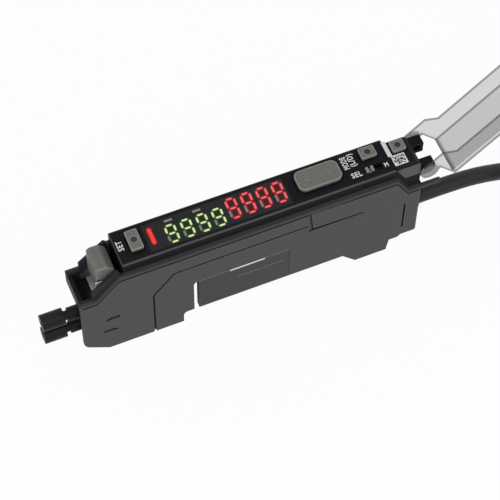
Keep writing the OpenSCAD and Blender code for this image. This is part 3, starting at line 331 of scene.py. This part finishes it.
class Nodes:
    """A tree of nodes and the one way in which a node joins it."""

    def __init__(self, tree, output):
        self.tree = tree
        self.output = tree.nodes[output]

    def feed(self, socket, value):
        """Links or sets one input."""
        if isinstance(value, Wire):
            self.tree.links.new(value.socket, socket)
        elif socket.type == "RGBA":
            socket.default_value = (*tuple(value)[:3], 1)
        else:
            socket.default_value = value

    def node(self, kind, settings=None, sockets=None, output=0):
        """Any node, with its settings set first and then its inputs."""
        made = self.tree.nodes.new(kind)
        for name, value in (settings or {}).items():
            setattr(made, name, value)
        for name, value in (sockets or {}).items():
            self.feed(made.inputs[name], value)
        return Wire(self, made.outputs[output])

    def surface(self, shader):
        """Ends the tree with one shader."""
        self.feed(self.output.inputs["Surface"], shader)

    def clamp(self, value):
        """A value kept between 0 and 1."""
        return self.node("ShaderNodeClamp", sockets={"Value": value})

    def seen(self):
        """1 for rays from the camera, in reflections and through clear plastic, and 0 for light."""
        camera, glossy, clear = (
            self.node("ShaderNodeLightPath", output=name)
            for name in ("Is Camera Ray", "Is Glossy Ray", "Is Transmission Ray"))
        return self.clamp(camera + glossy + clear)


class Finish(Nodes):
    """A material and the nodes that feed its shader."""

    # Sockets of a Mix node that mixes colours
    mix_share, mix_first, mix_second, mix_result = 0, 6, 7, 2
    # Lean of the rounded surface where an edge starts to show and where it shows in full
    edge_lean = (0.005, 0.12)
    # Share of the sky that is hidden where the painted shade in a groove starts and where it is darkest
    groove_shade_range = (0.1, 0.34)

    def __init__(self, name, colour, roughness, **fixed):
        self.material = bpy.data.materials.new(name)
        self.material.use_nodes = True
        super().__init__(self.material.node_tree, "Material Output")
        self.shader = self.tree.nodes["Principled BSDF"]
        self.give("Base Color", colour)
        self.give("Roughness", roughness)
        for socket, value in fixed.items():
            self.give(socket.replace("_", " ").title().replace("Ior", "IOR"), value)

    def give(self, name, value):
        """Links or sets one input of the shader."""
        self.feed(self.shader.inputs[name], value)

    def place(self):
        """Object coordinates, which are the part's own frame in metres."""
        return self.node("ShaderNodeTexCoord", output="Object")

    def axis(self, name):
        """One of the object coordinates."""
        return self.node("ShaderNodeSeparateXYZ", sockets={"Vector": self.place()}, output=name)

    def noise(self, size, detail=2.0, stretch=(1, 1, 1)):
        """Noise with features of about the given size in metres."""
        spot = self.node("ShaderNodeMapping", sockets={"Vector": self.place(), "Scale": stretch})
        return self.node("ShaderNodeTexNoise", sockets={"Vector": spot, "Scale": 1 / size, "Detail": detail})

    def mix(self, share, first, second):
        """One colour over another by a share from 0 to 1."""
        sockets = {self.mix_share: share, self.mix_first: first, self.mix_second: second}
        return self.node("ShaderNodeMix", {"data_type": "RGBA"}, sockets, self.mix_result)

    def ease(self, value, low, high):
        """0 below low, 1 above high and smooth between them."""
        return self.node(
            "ShaderNodeMapRange", {"interpolation_type": "SMOOTHSTEP"},
            {"Value": value, "From Min": low, "From Max": high},
        )

    def between(self, value, low, high, soft):
        """1 between two values, with soft edges."""
        rise = self.ease(value, low - soft, low + soft)
        fall = self.ease(value, high - soft, high + soft)
        return rise - fall

    def edges(self, radius):
        """1 at the edges of a piece, fading to 0 within a radius."""
        rounded = self.node("ShaderNodeBevel", {"samples": 8}, {"Radius": radius})
        flat = self.node("ShaderNodeNewGeometry", output="True Normal")
        likeness = self.node(
            "ShaderNodeVectorMath", {"operation": "DOT_PRODUCT"}, {0: rounded, 1: flat}, "Value")
        return self.ease(1 - likeness, *self.edge_lean)

    def depth(self, width):
        """1 deep in grooves of about a width and 0 in the open."""
        sky = self.node("ShaderNodeAmbientOcclusion", {"samples": 8}, {"Distance": width}, "AO")
        return self.ease(1 - sky, *self.groove_shade_range)

    def disc(self, across, along, middle, radius):
        """1 within a radius of a point, measured on two of the coordinates."""
        first = across - middle[0]
        second = along - middle[1]
        return first * first + second * second < radius * radius

    def relief(self, height, depth, edge):
        """Bumps of the given depth in metres, over edges rounded by the given radius."""
        rounded = self.node("ShaderNodeBevel", {"samples": 6}, {"Radius": edge})
        self.give("Normal", self.node("ShaderNodeBump", sockets={
            "Height": height, "Distance": depth, "Strength": 1.0, "Normal": rounded}))


def dress(finish, *nodes):
    """Gives CAD nodes one finish."""
    for name in nodes:
        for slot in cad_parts[name].material_slots:
            slot.material = finish.material


def soften(name, width, segments=3):
    """Rounds the sharp edges of a CAD node with modifiers."""
    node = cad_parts[name]
    same_place = 1e-6
    sharp = math.radians(40)
    weld = node.modifiers.new("join_faces", "WELD")
    weld.merge_threshold = same_place
    bevel = node.modifiers.new("round_edges", "BEVEL")
    bevel.width = width
    bevel.segments = segments
    bevel.limit_method = "ANGLE"
    bevel.angle_limit = sharp
    bevel.use_clamp_overlap = True
    bevel.harden_normals = True


def add_piece(name, data, body, finish):
    """A new piece at the origin that rides on a body."""
    piece = bpy.data.objects.new(name, data)
    bpy.context.scene.collection.objects.link(piece)
    data.materials.append(finish.material)
    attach(piece, body)
    return piece


def moulded(name, colour, roughness, looks, paint=None, edge=None, **fixed):
    """Moulded plastic: fine grain, slight unevenness, soft edges, painted shade deep in its grooves, and
    other colours painted over it.
    """
    finish = Finish(name, colour, roughness, **fixed)
    cloud = finish.noise(CLOUD, detail=3.0)
    speck = finish.noise(looks.grain)
    plain = finish.mix(cloud * 0.5 + speck * 0.5, scaled(colour, DEEP), scaled(colour, PALE))
    # Painted shade deep in the grooves, where the sky is hidden
    groove_shaded = finish.mix(finish.depth(looks.groove_shade_w), plain, scaled(colour, GROOVE_SHADE))
    finish.give("Base Color", paint(finish, groove_shaded) if paint else groove_shaded)
    finish.give("Roughness", roughness - GLOSS_SPREAD / 2 + speck * GLOSS_SPREAD)
    finish.relief(speck, looks.grain * GRAIN_RISE, edge or looks.edge)
    return finish


class AMPLIFIER_OT_case(bpy.types.Operator):
    """Finish the case halves, the fibre holder and the sleeves"""

    bl_idname = "amplifier.case"
    bl_label = "Case"

    def execute(self, context):
        looks = context.scene.amplifier_case
        shell = moulded(
            "shell_plastic", looks.shell, roughness=0.62, looks=looks, paint=self.painted_edge_light,
            specular_ior_level=0.25)
        dress(shell, "rear_case", "front_cover")
        sleeve = moulded(
            "sleeve_plastic", looks.sleeve, roughness=0.45, looks=looks, specular_ior_level=0.2)
        dress(sleeve, "upper_sleeve", "lower_sleeve", "fibre_holder")
        polish = 0.34
        brush_marks = 0.2
        steel = Finish("bright_steel", looks.steel, roughness=polish, metallic=1.0)
        brushed = steel.noise(0.1 * MM, stretch=(1, 12, 1))
        steel.give("Roughness", polish + brushed * brush_marks)
        dress(steel, "lever_pin", "clamp_spring")
        return {"FINISHED"}

    def painted_edge_light(self, finish, plain):
        """Paints a highlight along the case's edges, away from its grooves."""
        looks = bpy.context.scene.amplifier_case
        # Painted highlight along the case's edges, kept out of the grooves
        highlit = finish.edges(looks.highlight_w) * (1 - finish.depth(looks.groove_shade_w))
        return finish.mix(highlit * looks.painted_edge_light, plain, looks.edge_highlight)


class AMPLIFIER_OT_housing(bpy.types.Operator):
    """Finish the black top housing with its matt rim and cheeks, painted shade on the panel's walls and
    painted highlights on its ridges and facets
    """

    bl_idname = "amplifier.housing"
    bl_label = "Top housing"

    def execute(self, context):
        looks = context.scene.amplifier_case
        finish = moulded(
            "housing_plastic", looks.housing, roughness=0.45, looks=looks, paint=self.paint,
            specular_ior_level=0.05)
        dress(finish, "top_housing")
        return {"FINISHED"}

    def paint(self, finish, black):
        """Lays the matt greys of the rim and cheeks, the painted shade of the panel's walls and the painted
        highlights on its ridges, the walls' foot and the facets over the black by their places.
        """
        looks = bpy.context.scene.amplifier_case
        x, y, z = (finish.axis(name) for name in "XYZ")
        out = abs(y)
        rim = finish.ease(out, RIM_START_Y, RIM_FULL_Y)
        side = out > SIDE_Y
        # Painted highlight along the panel's ridges and across its end by the lever
        end = (x < PANEL_START + RIDGE_IN) * (x > PANEL_START - RIDGE_IN)
        upper = finish.ease(z, RIDGE_LOW - RIDGE_BLUR, RIDGE_LOW + RIDGE_BLUR)
        ridge_highlight = upper * finish.clamp((out > PANEL_Y - RIDGE_IN) + end)
        cheek = (x < CHEEK_X) * (out > CHEEK_Y)
        # Painted highlight on the facets at the cable end
        past_ramp = (x > FACET_X + (PANEL_Z - z) * FACET_RUN) * (x < NOTCH_X)
        height = finish.between(z, FACET_LOW, FACET_HIGH, FACET_BLUR)
        facet_highlight = past_ramp * height * ((y < FRONT_FACET_Y) + (y > BACK_FACET_Y))
        # Painted shade on the panel's walls, lightening to the rim's grey at their foot as a painted
        # highlight; the foot follows the ramp down at the cable end
        dip = finish.node("ShaderNodeMapRange", sockets={
            "Value": x, "From Min": RAMP_X, "From Max": RAMP_X + RAMP_L, "To Max": RAMP_DROP})
        wall = finish.mix(finish.ease(z + dip, RIM_Z, RIM_Z + WALL_FADE), looks.rim, looks.wall)
        colour = finish.mix(side, black, wall)
        colour = finish.mix(cheek, colour, looks.cheek)
        colour = finish.mix(ridge_highlight, colour, looks.ridge_highlight)
        colour = finish.mix(facet_highlight, colour, looks.facet_highlight)
        return finish.mix(rim, colour, looks.rim)


class AMPLIFIER_OT_display(bpy.types.Operator):
    """Finish the tinted window and light the segments under it"""

    bl_idname = "amplifier.display"
    bl_label = "Display"

    def execute(self, context):
        looks = context.scene.amplifier_display
        self.window(looks)
        for name, colour, edge, fade, node in (
            ("green_light", looks.green, looks.green_edge, 0.3 * MM, "green_segments"),
            ("red_light", looks.red, looks.red_edge, 0.3 * MM, "red_segments"),
            ("bar_light", looks.bar, looks.bar_edge, 0.5 * MM, "output_bar"),
        ):
            dress(self.lamp(name, colour, edge, fade), node)
        for name, colour, fade, node in (
            ("unlit_segment", looks.unlit, 0.25 * MM, "dark_segments"),
            ("unlit_lens", looks.lens, 0.1 * MM, "indicator_lenses"),
        ):
            dress(self.frosted(name, colour, fade), node)
        return {"FINISHED"}

    def lamp(self, name, colour, edge, fade):
        """A lit diffuser, pale in its middle, deep at its edges and a little uneven."""
        unlit, dimmest = 0.05, 0.9
        finish = Finish(
            name, scaled(colour, unlit), roughness=0.3, emission_strength=1.0, specular_ior_level=0.2)
        spread = finish.noise(0.5 * MM)
        core = finish.mix(spread, scaled(colour, dimmest), colour)
        finish.give("Emission Color", finish.mix(finish.edges(fade), core, edge))
        return finish

    def frosted(self, name, colour, fade):
        """A diffuser that is off, darker at its edges."""
        deepest, edge_shade = 0.8, 0.2
        finish = Finish(name, colour, roughness=0.4, specular_ior_level=0.25)
        frost = finish.mix(finish.noise(0.12 * MM), scaled(colour, deepest), colour)
        finish.give("Base Color", finish.mix(finish.edges(fade), frost, scaled(colour, edge_shade)))
        return finish

    def window(self, looks):
        """Glossy tinted window, darker behind each value and with a haze of light round it."""
        gloss, dust = 0.1, 0.1
        veil, glow = 0.06, 0.7
        well_shade = 0.4
        soft = 0.4 * MM
        finish = Finish(
            "tinted_window", looks.window, roughness=gloss, specular_ior_level=0.2, emission_strength=1.0)
        along, across = (finish.axis(name) for name in "XY")
        haze = (0, 0, 0)
        film = looks.window
        spill = veil + finish.edges(looks.haze_w) * glow
        for node, colour, digits in (
            ("green_segments", looks.green_haze, 4),
            ("red_segments", looks.red_haze, 4),
            ("output_bar", looks.bar_haze, 1),
        ):
            low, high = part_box(node)
            patch = finish.between(along, low[0], high[0], soft)
            patch = patch * finish.between(across, low[1], high[1], soft)
            if digits > 1:
                pitch = (high[0] - low[0] - looks.digit_w) / (digits - 1)
                turns = (along - low[0] + soft) * (1 / pitch)
                digit = finish.node("ShaderNodeMath", {"operation": "FRACT"}, {0: turns}) * pitch
                patch = patch * finish.between(digit, soft, soft + looks.digit_w, soft)
            haze = finish.mix(patch * spill, haze, colour)
            film = finish.mix(patch, film, scaled(looks.window, well_shade))
        finish.give("Base Color", film)
        finish.give("Emission Color", haze)
        finish.give("Roughness", gloss + finish.noise(0.3 * MM) * dust)
        dress(finish, "display_window")


class AMPLIFIER_OT_controls(bpy.types.Operator):
    """Finish the buttons, the rocker, the slide knob and the lever"""

    bl_idname = "amplifier.controls"
    bl_label = "Controls"

    buttons = ("set_button", "mode_button", "select_button")

    def execute(self, context):
        looks = context.scene.amplifier_controls
        finish = moulded(
            "button_plastic", looks.button, roughness=0.5, looks=context.scene.amplifier_case,
            paint=self.paint, edge=looks.edge, specular_ior_level=0.3)
        dress(finish, *self.buttons, "rocker", "slide_knob", "lock_lever")
        for name in self.buttons:
            soften(name, looks.button_round)
        soften("lock_lever", looks.lever_round)
        return {"FINISHED"}

    def paint(self, finish, plain):
        """Pales the edges and shades the dimple in the middle of each button."""
        looks = bpy.context.scene.amplifier_controls
        edge_share = 0.7
        colour = finish.mix(finish.edges(looks.edge_w) * edge_share, plain, looks.pale)
        x, y = (finish.axis(name) for name in "XY")
        for name in self.buttons:
            low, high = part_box(name)
            middle = [(a + b) / 2 for a, b in zip(low, high)]
            colour = finish.mix(finish.disc(x, y, middle, looks.dimple_r), colour, looks.dimple)
        return colour


class AMPLIFIER_OT_lettering(bpy.types.Operator):
    """Print the control words on the panel"""

    bl_idname = "amplifier.lettering"
    bl_label = "Lettering"

    def execute(self, context):
        looks = context.scene.amplifier_controls
        thinnest = 0.88
        along_y = math.radians(90)
        ink = Finish("white_ink", looks.ink, roughness=0.55, specular_ior_level=0.3)
        fleck = ink.noise(0.08 * MM)
        ink.give("Base Color", ink.mix(fleck, scaled(looks.ink, thinnest), looks.ink))
        for name, words, x, y, wide, tall, turn in (
            ("word_set", "SET", -28.65, 0.1, 0.84, 1, along_y),
            ("word_mode", "MODE", 18.2, 1.17, 0.62, 1, along_y),
            ("word_light_dark", "(L/D)", 19.65, 1.35, 0.82, 1, along_y),
            ("word_select", "SEL", 19.25, -2.17, 0.85, 1, 0),
            ("word_memory", "M", 25.55, -2.17, 0.7, 0.86, 0),
        ):
            mesh = self.print_word(name, words, looks, (wide, tall), turn, (x * MM, y * MM))
            add_piece(name, mesh, "case", ink)
        return {"FINISHED"}

    def print_word(self, name, words, looks, stretch, turn, centre):
        """A flat printed word as a mesh in its place on the panel."""
        boldness, spacing = 0.024, 1.12
        font = bpy.data.curves.new(name, "FONT")
        font.body = words
        font.size = looks.letter_h
        font.align_x = "CENTER"
        font.align_y = "CENTER"
        font.extrude = looks.ink_t / 2
        font.offset = looks.letter_h * boldness
        font.space_character = spacing
        font.resolution_u = 3
        draft = bpy.data.objects.new(name, font)
        mesh = bpy.data.meshes.new_from_object(draft)
        mesh.transform(
            Matrix.Translation((*centre, PANEL_Z + looks.ink_t / 2))
            @ Matrix.Rotation(turn, 4, "Z")
            @ Matrix.Diagonal((*stretch, 1, 1)))
        bpy.data.objects.remove(draft)
        return mesh


class AMPLIFIER_OT_labels(bpy.types.Operator):
    """Finish the bare rating label and the code label"""

    bl_idname = "amplifier.labels"
    bl_label = "Labels"

    def execute(self, context):
        looks = context.scene.amplifier_controls
        self.rating(looks)
        self.code(looks)
        return {"FINISHED"}

    def rating(self, looks):
        """Satin film with a thin printed line across its middle, a thin painted highlight along its top
        edge, a painted shadow along its end and one bold printed line.
        """
        finish = Finish("rating_film", looks.label, roughness=0.5, specular_ior_level=0.25)
        end_x, _, top_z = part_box("rating_label")[1]
        x, z = (finish.axis(name) for name in "XZ")
        soft = 0.02 * MM
        thin = 0.1 * MM
        bold = 0.42 * MM
        middle_z = 6.6 * MM
        middle_run = (-6.4 * MM, 3.7 * MM)
        bold_run = (-8.1 * MM, -0.7 * MM)
        deepest = 0.92
        # Painted highlight along the label's top edge
        top = finish.between(z, top_z - thin, top_z, soft)
        # Painted shadow along the label's end
        end = finish.between(x, end_x - 2 * thin, end_x, soft)
        middle = finish.between(z, middle_z, middle_z + thin, soft) * finish.between(x, *middle_run, soft)
        heavy = finish.between(z, top_z - bold, top_z, soft) * finish.between(x, *bold_run, soft)
        cloud = finish.noise(4 * MM, detail=3.0)
        film = finish.mix(cloud, scaled(looks.label, deepest), looks.label)
        ruled_and_highlit = finish.mix(top + middle, film, looks.rule_and_highlight)
        end_shadowed = finish.mix(end, ruled_and_highlit, looks.label_end_shadow)
        finish.give("Base Color", finish.mix(heavy, end_shadowed, looks.bold_rule))
        finish.relief(finish.noise(0.1 * MM), depth=0.004 * MM, edge=0.05 * MM)
        dress(finish, "rating_label")

    def code(self, looks):
        """White film with cells that spell nothing."""
        finish = Finish("code_film", looks.code, roughness=0.5, specular_ior_level=0.25)
        low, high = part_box("code_label")
        margin = 0.22 * MM
        strip = 0.42 * MM
        block_w = 2.5 * MM
        sharp = 0.01 * MM
        grid = finish.node(
            "ShaderNodeVectorMath", {"operation": "SNAP"},
            {0: finish.place(), 1: (looks.cell, looks.cell, 1.0)})
        spot = finish.node("ShaderNodeTexWhiteNoise", {"noise_dimensions": "2D"}, {"Vector": grid}, "Value")
        columns = finish.between(finish.axis("X"), low[0] + strip + margin, high[0] - margin, sharp)
        rows = finish.between(finish.axis("Y"), low[1] + margin, low[1] + block_w - margin, sharp)
        finish.give("Base Color", finish.mix((spot > 0.5) * columns * rows, looks.code, looks.code_ink))
        dress(finish, "code_label")


class AMPLIFIER_OT_cover(bpy.types.Operator):
    """Finish the clear dust cover"""

    bl_idname = "amplifier.cover"
    bl_label = "Dust cover"

    def execute(self, context):
        looks = context.scene.amplifier_case
        gloss, scuffs, hub_scuffs = 0.05, 0.1, 0.3
        corner_share, brink_share, end_share = 0.6, 0.8, 0.7
        hub_haze, hub_streaks = 0.3, 0.8
        end_start, end_full = ARM_R + 0.1 * MM, ARM_R + 0.9 * MM
        finish = Finish("clear_cover", looks.clear, roughness=gloss, specular_ior_level=0.1)
        x, y, z = (finish.axis(name) for name in "XYZ")
        wall = finish.ease(abs(y), COVER_WALL_Y, COVER_WALL_Y + COVER_WALL_BLUR)
        facing = finish.node("ShaderNodeNewGeometry", output="True Normal")
        sideways = abs(finish.node("ShaderNodeSeparateXYZ", sockets={"Vector": facing}, output="Y"))
        brink = wall * (sideways < 0.5)
        along = (x - HINGE_X) * math.cos(COVER_LEAN) + (z - HINGE_Z) * math.sin(COVER_LEAN)
        end = (1 - finish.ease(along, end_start, end_full)) * (1 - wall)
        hub = finish.disc(x, z, (HINGE_X, HINGE_Z), ARM_R)
        streak = finish.noise(0.35 * MM, stretch=(1, 1, 0.4))
        milky = hub * (hub_haze + streak * hub_streaks)
        # Painted shade along the cover's corners, brinks and hinge end, together with the milky hubs
        corner = finish.edges(0.25 * MM)
        edge = finish.clamp(corner * corner_share + brink * brink_share + end * end_share + milky)
        film = looks.plate_film + wall * (looks.wall_film - looks.plate_film)
        finish.give("Alpha", film + edge * (looks.edge_shade_film - film))
        tint = finish.mix(edge, looks.clear, looks.clear_edge_shade)
        finish.give("Base Color", finish.mix(hub, tint, looks.clear_hub))
        scuff = finish.noise(1.5 * MM, detail=4.0)
        finish.give("Roughness", gloss + scuff * scuffs + hub * hub_scuffs)
        dress(finish, "dust_cover")
        return {"FINISHED"}


class AMPLIFIER_OT_inside(bpy.types.Operator):
    """Finish the boards and the devices inside the case"""

    bl_idname = "amplifier.inside"
    bl_label = "Inside"

    def execute(self, context):
        mask = from_srgb(30, 92, 54)
        device_black = from_srgb(36, 36, 38)
        diffuser_white = from_srgb(222, 222, 214)
        track_level, track_shine = 0.52, 1.5
        board = Finish("solder_mask", mask, roughness=0.35)
        tracks = board.noise(1.2 * MM, detail=0.0) > track_level
        board.give("Base Color", board.mix(tracks, mask, scaled(mask, track_shine)))
        dress(board, "main_board", "display_board")
        looks = context.scene.amplifier_case
        device = moulded("device_plastic", device_black, roughness=0.45, looks=looks)
        dress(device, "light_emitter", "light_receiver", "board_header", "tact_switches", "slide_switch")
        diffuser = moulded("diffuser_plastic", diffuser_white, roughness=0.5, looks=looks)
        dress(diffuser, "green_block", "red_block")
        return {"FINISHED"}


class AMPLIFIER_OT_cable(bpy.types.Operator):
    """Lay the power cable along its route, wind its hank and finish its ends"""

    bl_idname = "amplifier.cable"
    bl_label = "Power cable"

    def execute(self, context):
        sizes = context.scene.amplifier_cable
        sheath = moulded(
            "cable_sheath", sizes.sheath, roughness=0.5, looks=context.scene.amplifier_case,
            specular_ior_level=0.35)
        route = [Vector(point) for point in LEAD] + self.hank(sizes)
        curve = bpy.data.curves.new("power_cable_route", "CURVE")
        curve.dimensions = "3D"
        curve.resolution_u = 3
        curve.bevel_depth = sizes.diameter / 2
        curve.bevel_resolution = 4
        curve.use_fill_caps = True
        spline = curve.splines.new("BEZIER")
        spline.bezier_points.add(len(route) - 1)
        for point, spot in zip(spline.bezier_points, route):
            point.co = spot
            point.handle_left_type = "AUTO"
            point.handle_right_type = "AUTO"
        cable = add_piece("cable_sheath", curve, "case", sheath)
        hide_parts("power_cable", "cable_coil", "cable_tail")
        self.ends(sizes, sheath)
        return {"FINISHED"}

    def hank(self, sizes):
        """Points of the hank, layer on layer, from its first run to the end that lies on top."""
        start = Vector(LEAD[-1])
        outer = sizes.fold_r + (sizes.across - 1) / 2 * sizes.diameter
        middle = start.y - outer
        radii = [outer - step * sizes.diameter for step in range(sizes.across)]
        turns = []
        for layer in range(sizes.layers):
            turns += [(radius, layer) for radius in (radii if layer % 2 == 0 else radii[::-1])]
        turns.append((turns[-1][0], sizes.layers))
        points = []
        for (radius, layer), (next_radius, next_layer) in zip(turns, turns[1:]):
            height = start.z + layer * sizes.diameter
            for side in (1, -1):
                near = start.x if side > 0 else start.x + sizes.run
                for step in range(sizes.run_steps):
                    along = near + side * sizes.run * step / sizes.run_steps
                    points.append(Vector((along, middle + side * radius, height)))
                for step in range(sizes.fold_steps):
                    turn = step / sizes.fold_steps
                    share = 0 if side > 0 else turn * turn * (3 - 2 * turn)
                    reach = radius + share * (next_radius - radius)
                    angle = math.radians(90 * side - 180 * turn)
                    points.append(Vector((
                        near + side * sizes.run + reach * math.cos(angle),
                        middle + reach * math.sin(angle),
                        height + share * (next_layer - layer) * sizes.diameter,
                    )))
        radius, layer = turns[-1]
        for share in (0, 0.5, 1):
            points.append(Vector((
                start.x + share * sizes.end_run, middle + radius, start.z + layer * sizes.diameter)))
        return points[1:]

    def ends(self, sizes, sheath):
        """Finishes of the gland, the tie, the cores and their bare tips."""
        dress(sheath, "cable_gland")
        looks = bpy.context.scene.amplifier_case
        dress(moulded("tie_strap", sizes.tie, roughness=0.4, looks=looks), "coil_tie")
        for name, colour in (("brown", sizes.brown), ("blue", sizes.blue), ("black", sizes.black)):
            insulation = moulded(f"{name}_insulation", colour, roughness=0.4, looks=looks)
            dress(insulation, f"{name}_core")
        copper = Finish("bare_copper", sizes.copper, roughness=0.3, metallic=1.0)
        strands = copper.noise(0.12 * MM, detail=1.0, stretch=(8, 1, 8))
        copper.relief(strands, depth=0.05 * MM, edge=0.05 * MM)
        dress(copper, "core_tips")


class AMPLIFIER_OT_stage(bpy.types.Operator):
    """Set the floor, the light and the camera"""

    bl_idname = "amplifier.stage"
    bl_label = "Stage"

    def execute(self, context):
        sizes = context.scene.amplifier_stage
        context.scene.view_settings.view_transform = "Standard"
        self.floor(sizes)
        self.sky(context.scene, sizes)
        self.lamp("key_light", sizes.key, place=(-0.25, -0.35, 0.6), size=0.5)
        self.lamp("fill_light", sizes.fill, place=(0.45, -0.5, 0.35), size=0.6)
        self.camera(context.scene, sizes)
        return {"FINISHED"}

    def floor(self, sizes):
        """Pale floor that shows as white and keeps a faint shadow."""
        below_feet = 0.02 * MM
        shape = bmesh.new()
        bmesh.ops.create_grid(
            shape, x_segments=1, y_segments=1, size=2.0,
            matrix=Matrix.Translation((0, 0, CAD_LOW[2] - below_feet)))
        mesh = bpy.data.meshes.new("floor")
        shape.to_mesh(mesh)
        shape.free()
        floor = bpy.data.objects.new("floor", mesh)
        bpy.context.scene.collection.objects.link(floor)
        finish = Finish("floor_paper", sizes.floor, roughness=0.9)
        lit = Wire(finish, finish.shader.outputs[0])
        white = finish.node("ShaderNodeEmission", sockets={"Color": (1, 1, 1), "Strength": 1.0})
        share = finish.seen() * sizes.floor_white
        finish.surface(finish.node("ShaderNodeMixShader", sockets={0: share, 1: lit, 2: white}))
        mesh.materials.append(finish.material)

    def sky(self, scene, sizes):
        """Even light all round, white where it is seen."""
        scene.world = bpy.data.worlds.new("studio")
        scene.world.use_nodes = True
        studio = Nodes(scene.world.node_tree, "World Output")
        light = studio.node("ShaderNodeBackground", sockets={"Color": (1, 1, 1), "Strength": sizes.sky})
        white = studio.node("ShaderNodeBackground", sockets={"Color": (1, 1, 1), "Strength": 1.0})
        studio.surface(studio.node("ShaderNodeMixShader", sockets={0: studio.seen(), 1: light, 2: white}))

    def lamp(self, name, power, place, size):
        """A soft square light that faces the case."""
        data = bpy.data.lights.new(name, "AREA")
        data.energy = power
        data.size = size
        lamp = bpy.data.objects.new(name, data)
        bpy.context.scene.collection.objects.link(lamp)
        lamp.location = place
        case_middle = Vector((0, 0, 0.01))
        lamp.rotation_euler = (case_middle - Vector(place)).to_track_quat("-Z", "Y").to_euler()

    def camera(self, scene, sizes):
        """Camera at the photograph's place, angle and focal length."""
        data = bpy.data.cameras.new("camera")
        data.sensor_width = SENSOR_WIDTH
        data.lens = SENSOR_WIDTH * FOCAL_PIXELS / IMAGE_WIDTH
        data.clip_start = 10 * MM
        camera = bpy.data.objects.new("camera", data)
        scene.collection.objects.link(camera)
        turn, tilt = sizes.azimuth, sizes.elevation
        ahead = Vector((
            math.sin(turn) * math.cos(tilt), math.cos(turn) * math.cos(tilt), -math.sin(tilt)))
        right = Vector((math.cos(turn), -math.sin(turn), 0))
        above = right.cross(ahead)
        axes = Matrix((right, above, -ahead)).transposed()
        lean = Matrix.Rotation(sizes.roll, 3, "Z")
        camera.matrix_world = Matrix.Translation(sizes.eye) @ (axes @ lean).to_4x4()
        scene.camera = camera


class AMPLIFIER_PT_panel(bpy.types.Panel):
    """Lists the steps that dress the amplifier"""

    bl_idname = "AMPLIFIER_PT_panel"
    bl_label = "Fibre amplifier"
    bl_space_type = "VIEW_3D"
    bl_region_type = "UI"
    bl_category = "Amplifier"

    def draw(self, context):
        for step in STEPS:
            self.layout.operator(step.bl_idname)


SETTINGS = {
    "amplifier_case": CaseFinish,
    "amplifier_display": DisplayFinish,
    "amplifier_controls": ControlFinish,
    "amplifier_cable": CableSizes,
    "amplifier_stage": StageSizes,
}
STEPS = (
    AMPLIFIER_OT_stage,
    AMPLIFIER_OT_cable,
    AMPLIFIER_OT_case,
    AMPLIFIER_OT_housing,
    AMPLIFIER_OT_display,
    AMPLIFIER_OT_controls,
    AMPLIFIER_OT_lettering,
    AMPLIFIER_OT_labels,
    AMPLIFIER_OT_cover,
    AMPLIFIER_OT_inside,
)


def register():
    for group in SETTINGS.values():
        bpy.utils.register_class(group)
    for name, group in SETTINGS.items():
        setattr(bpy.types.Scene, name, PointerProperty(type=group))
    for step in STEPS:
        bpy.utils.register_class(step)
    bpy.utils.register_class(AMPLIFIER_PT_panel)


def unregister():
    bpy.utils.unregister_class(AMPLIFIER_PT_panel)
    for step in reversed(STEPS):
        bpy.utils.unregister_class(step)
    for name, group in SETTINGS.items():
        delattr(bpy.types.Scene, name)
        bpy.utils.unregister_class(group)


def main():
    register()
    bpy.ops.amplifier.stage()
    bpy.ops.amplifier.cable()
    bpy.ops.amplifier.case()
    bpy.ops.amplifier.housing()
    bpy.ops.amplifier.display()
    bpy.ops.amplifier.controls()
    bpy.ops.amplifier.lettering()
    bpy.ops.amplifier.labels()
    bpy.ops.amplifier.cover()
    bpy.ops.amplifier.inside()
    bpy.context.view_layer.update()


if __name__ == "__main__":
    main()
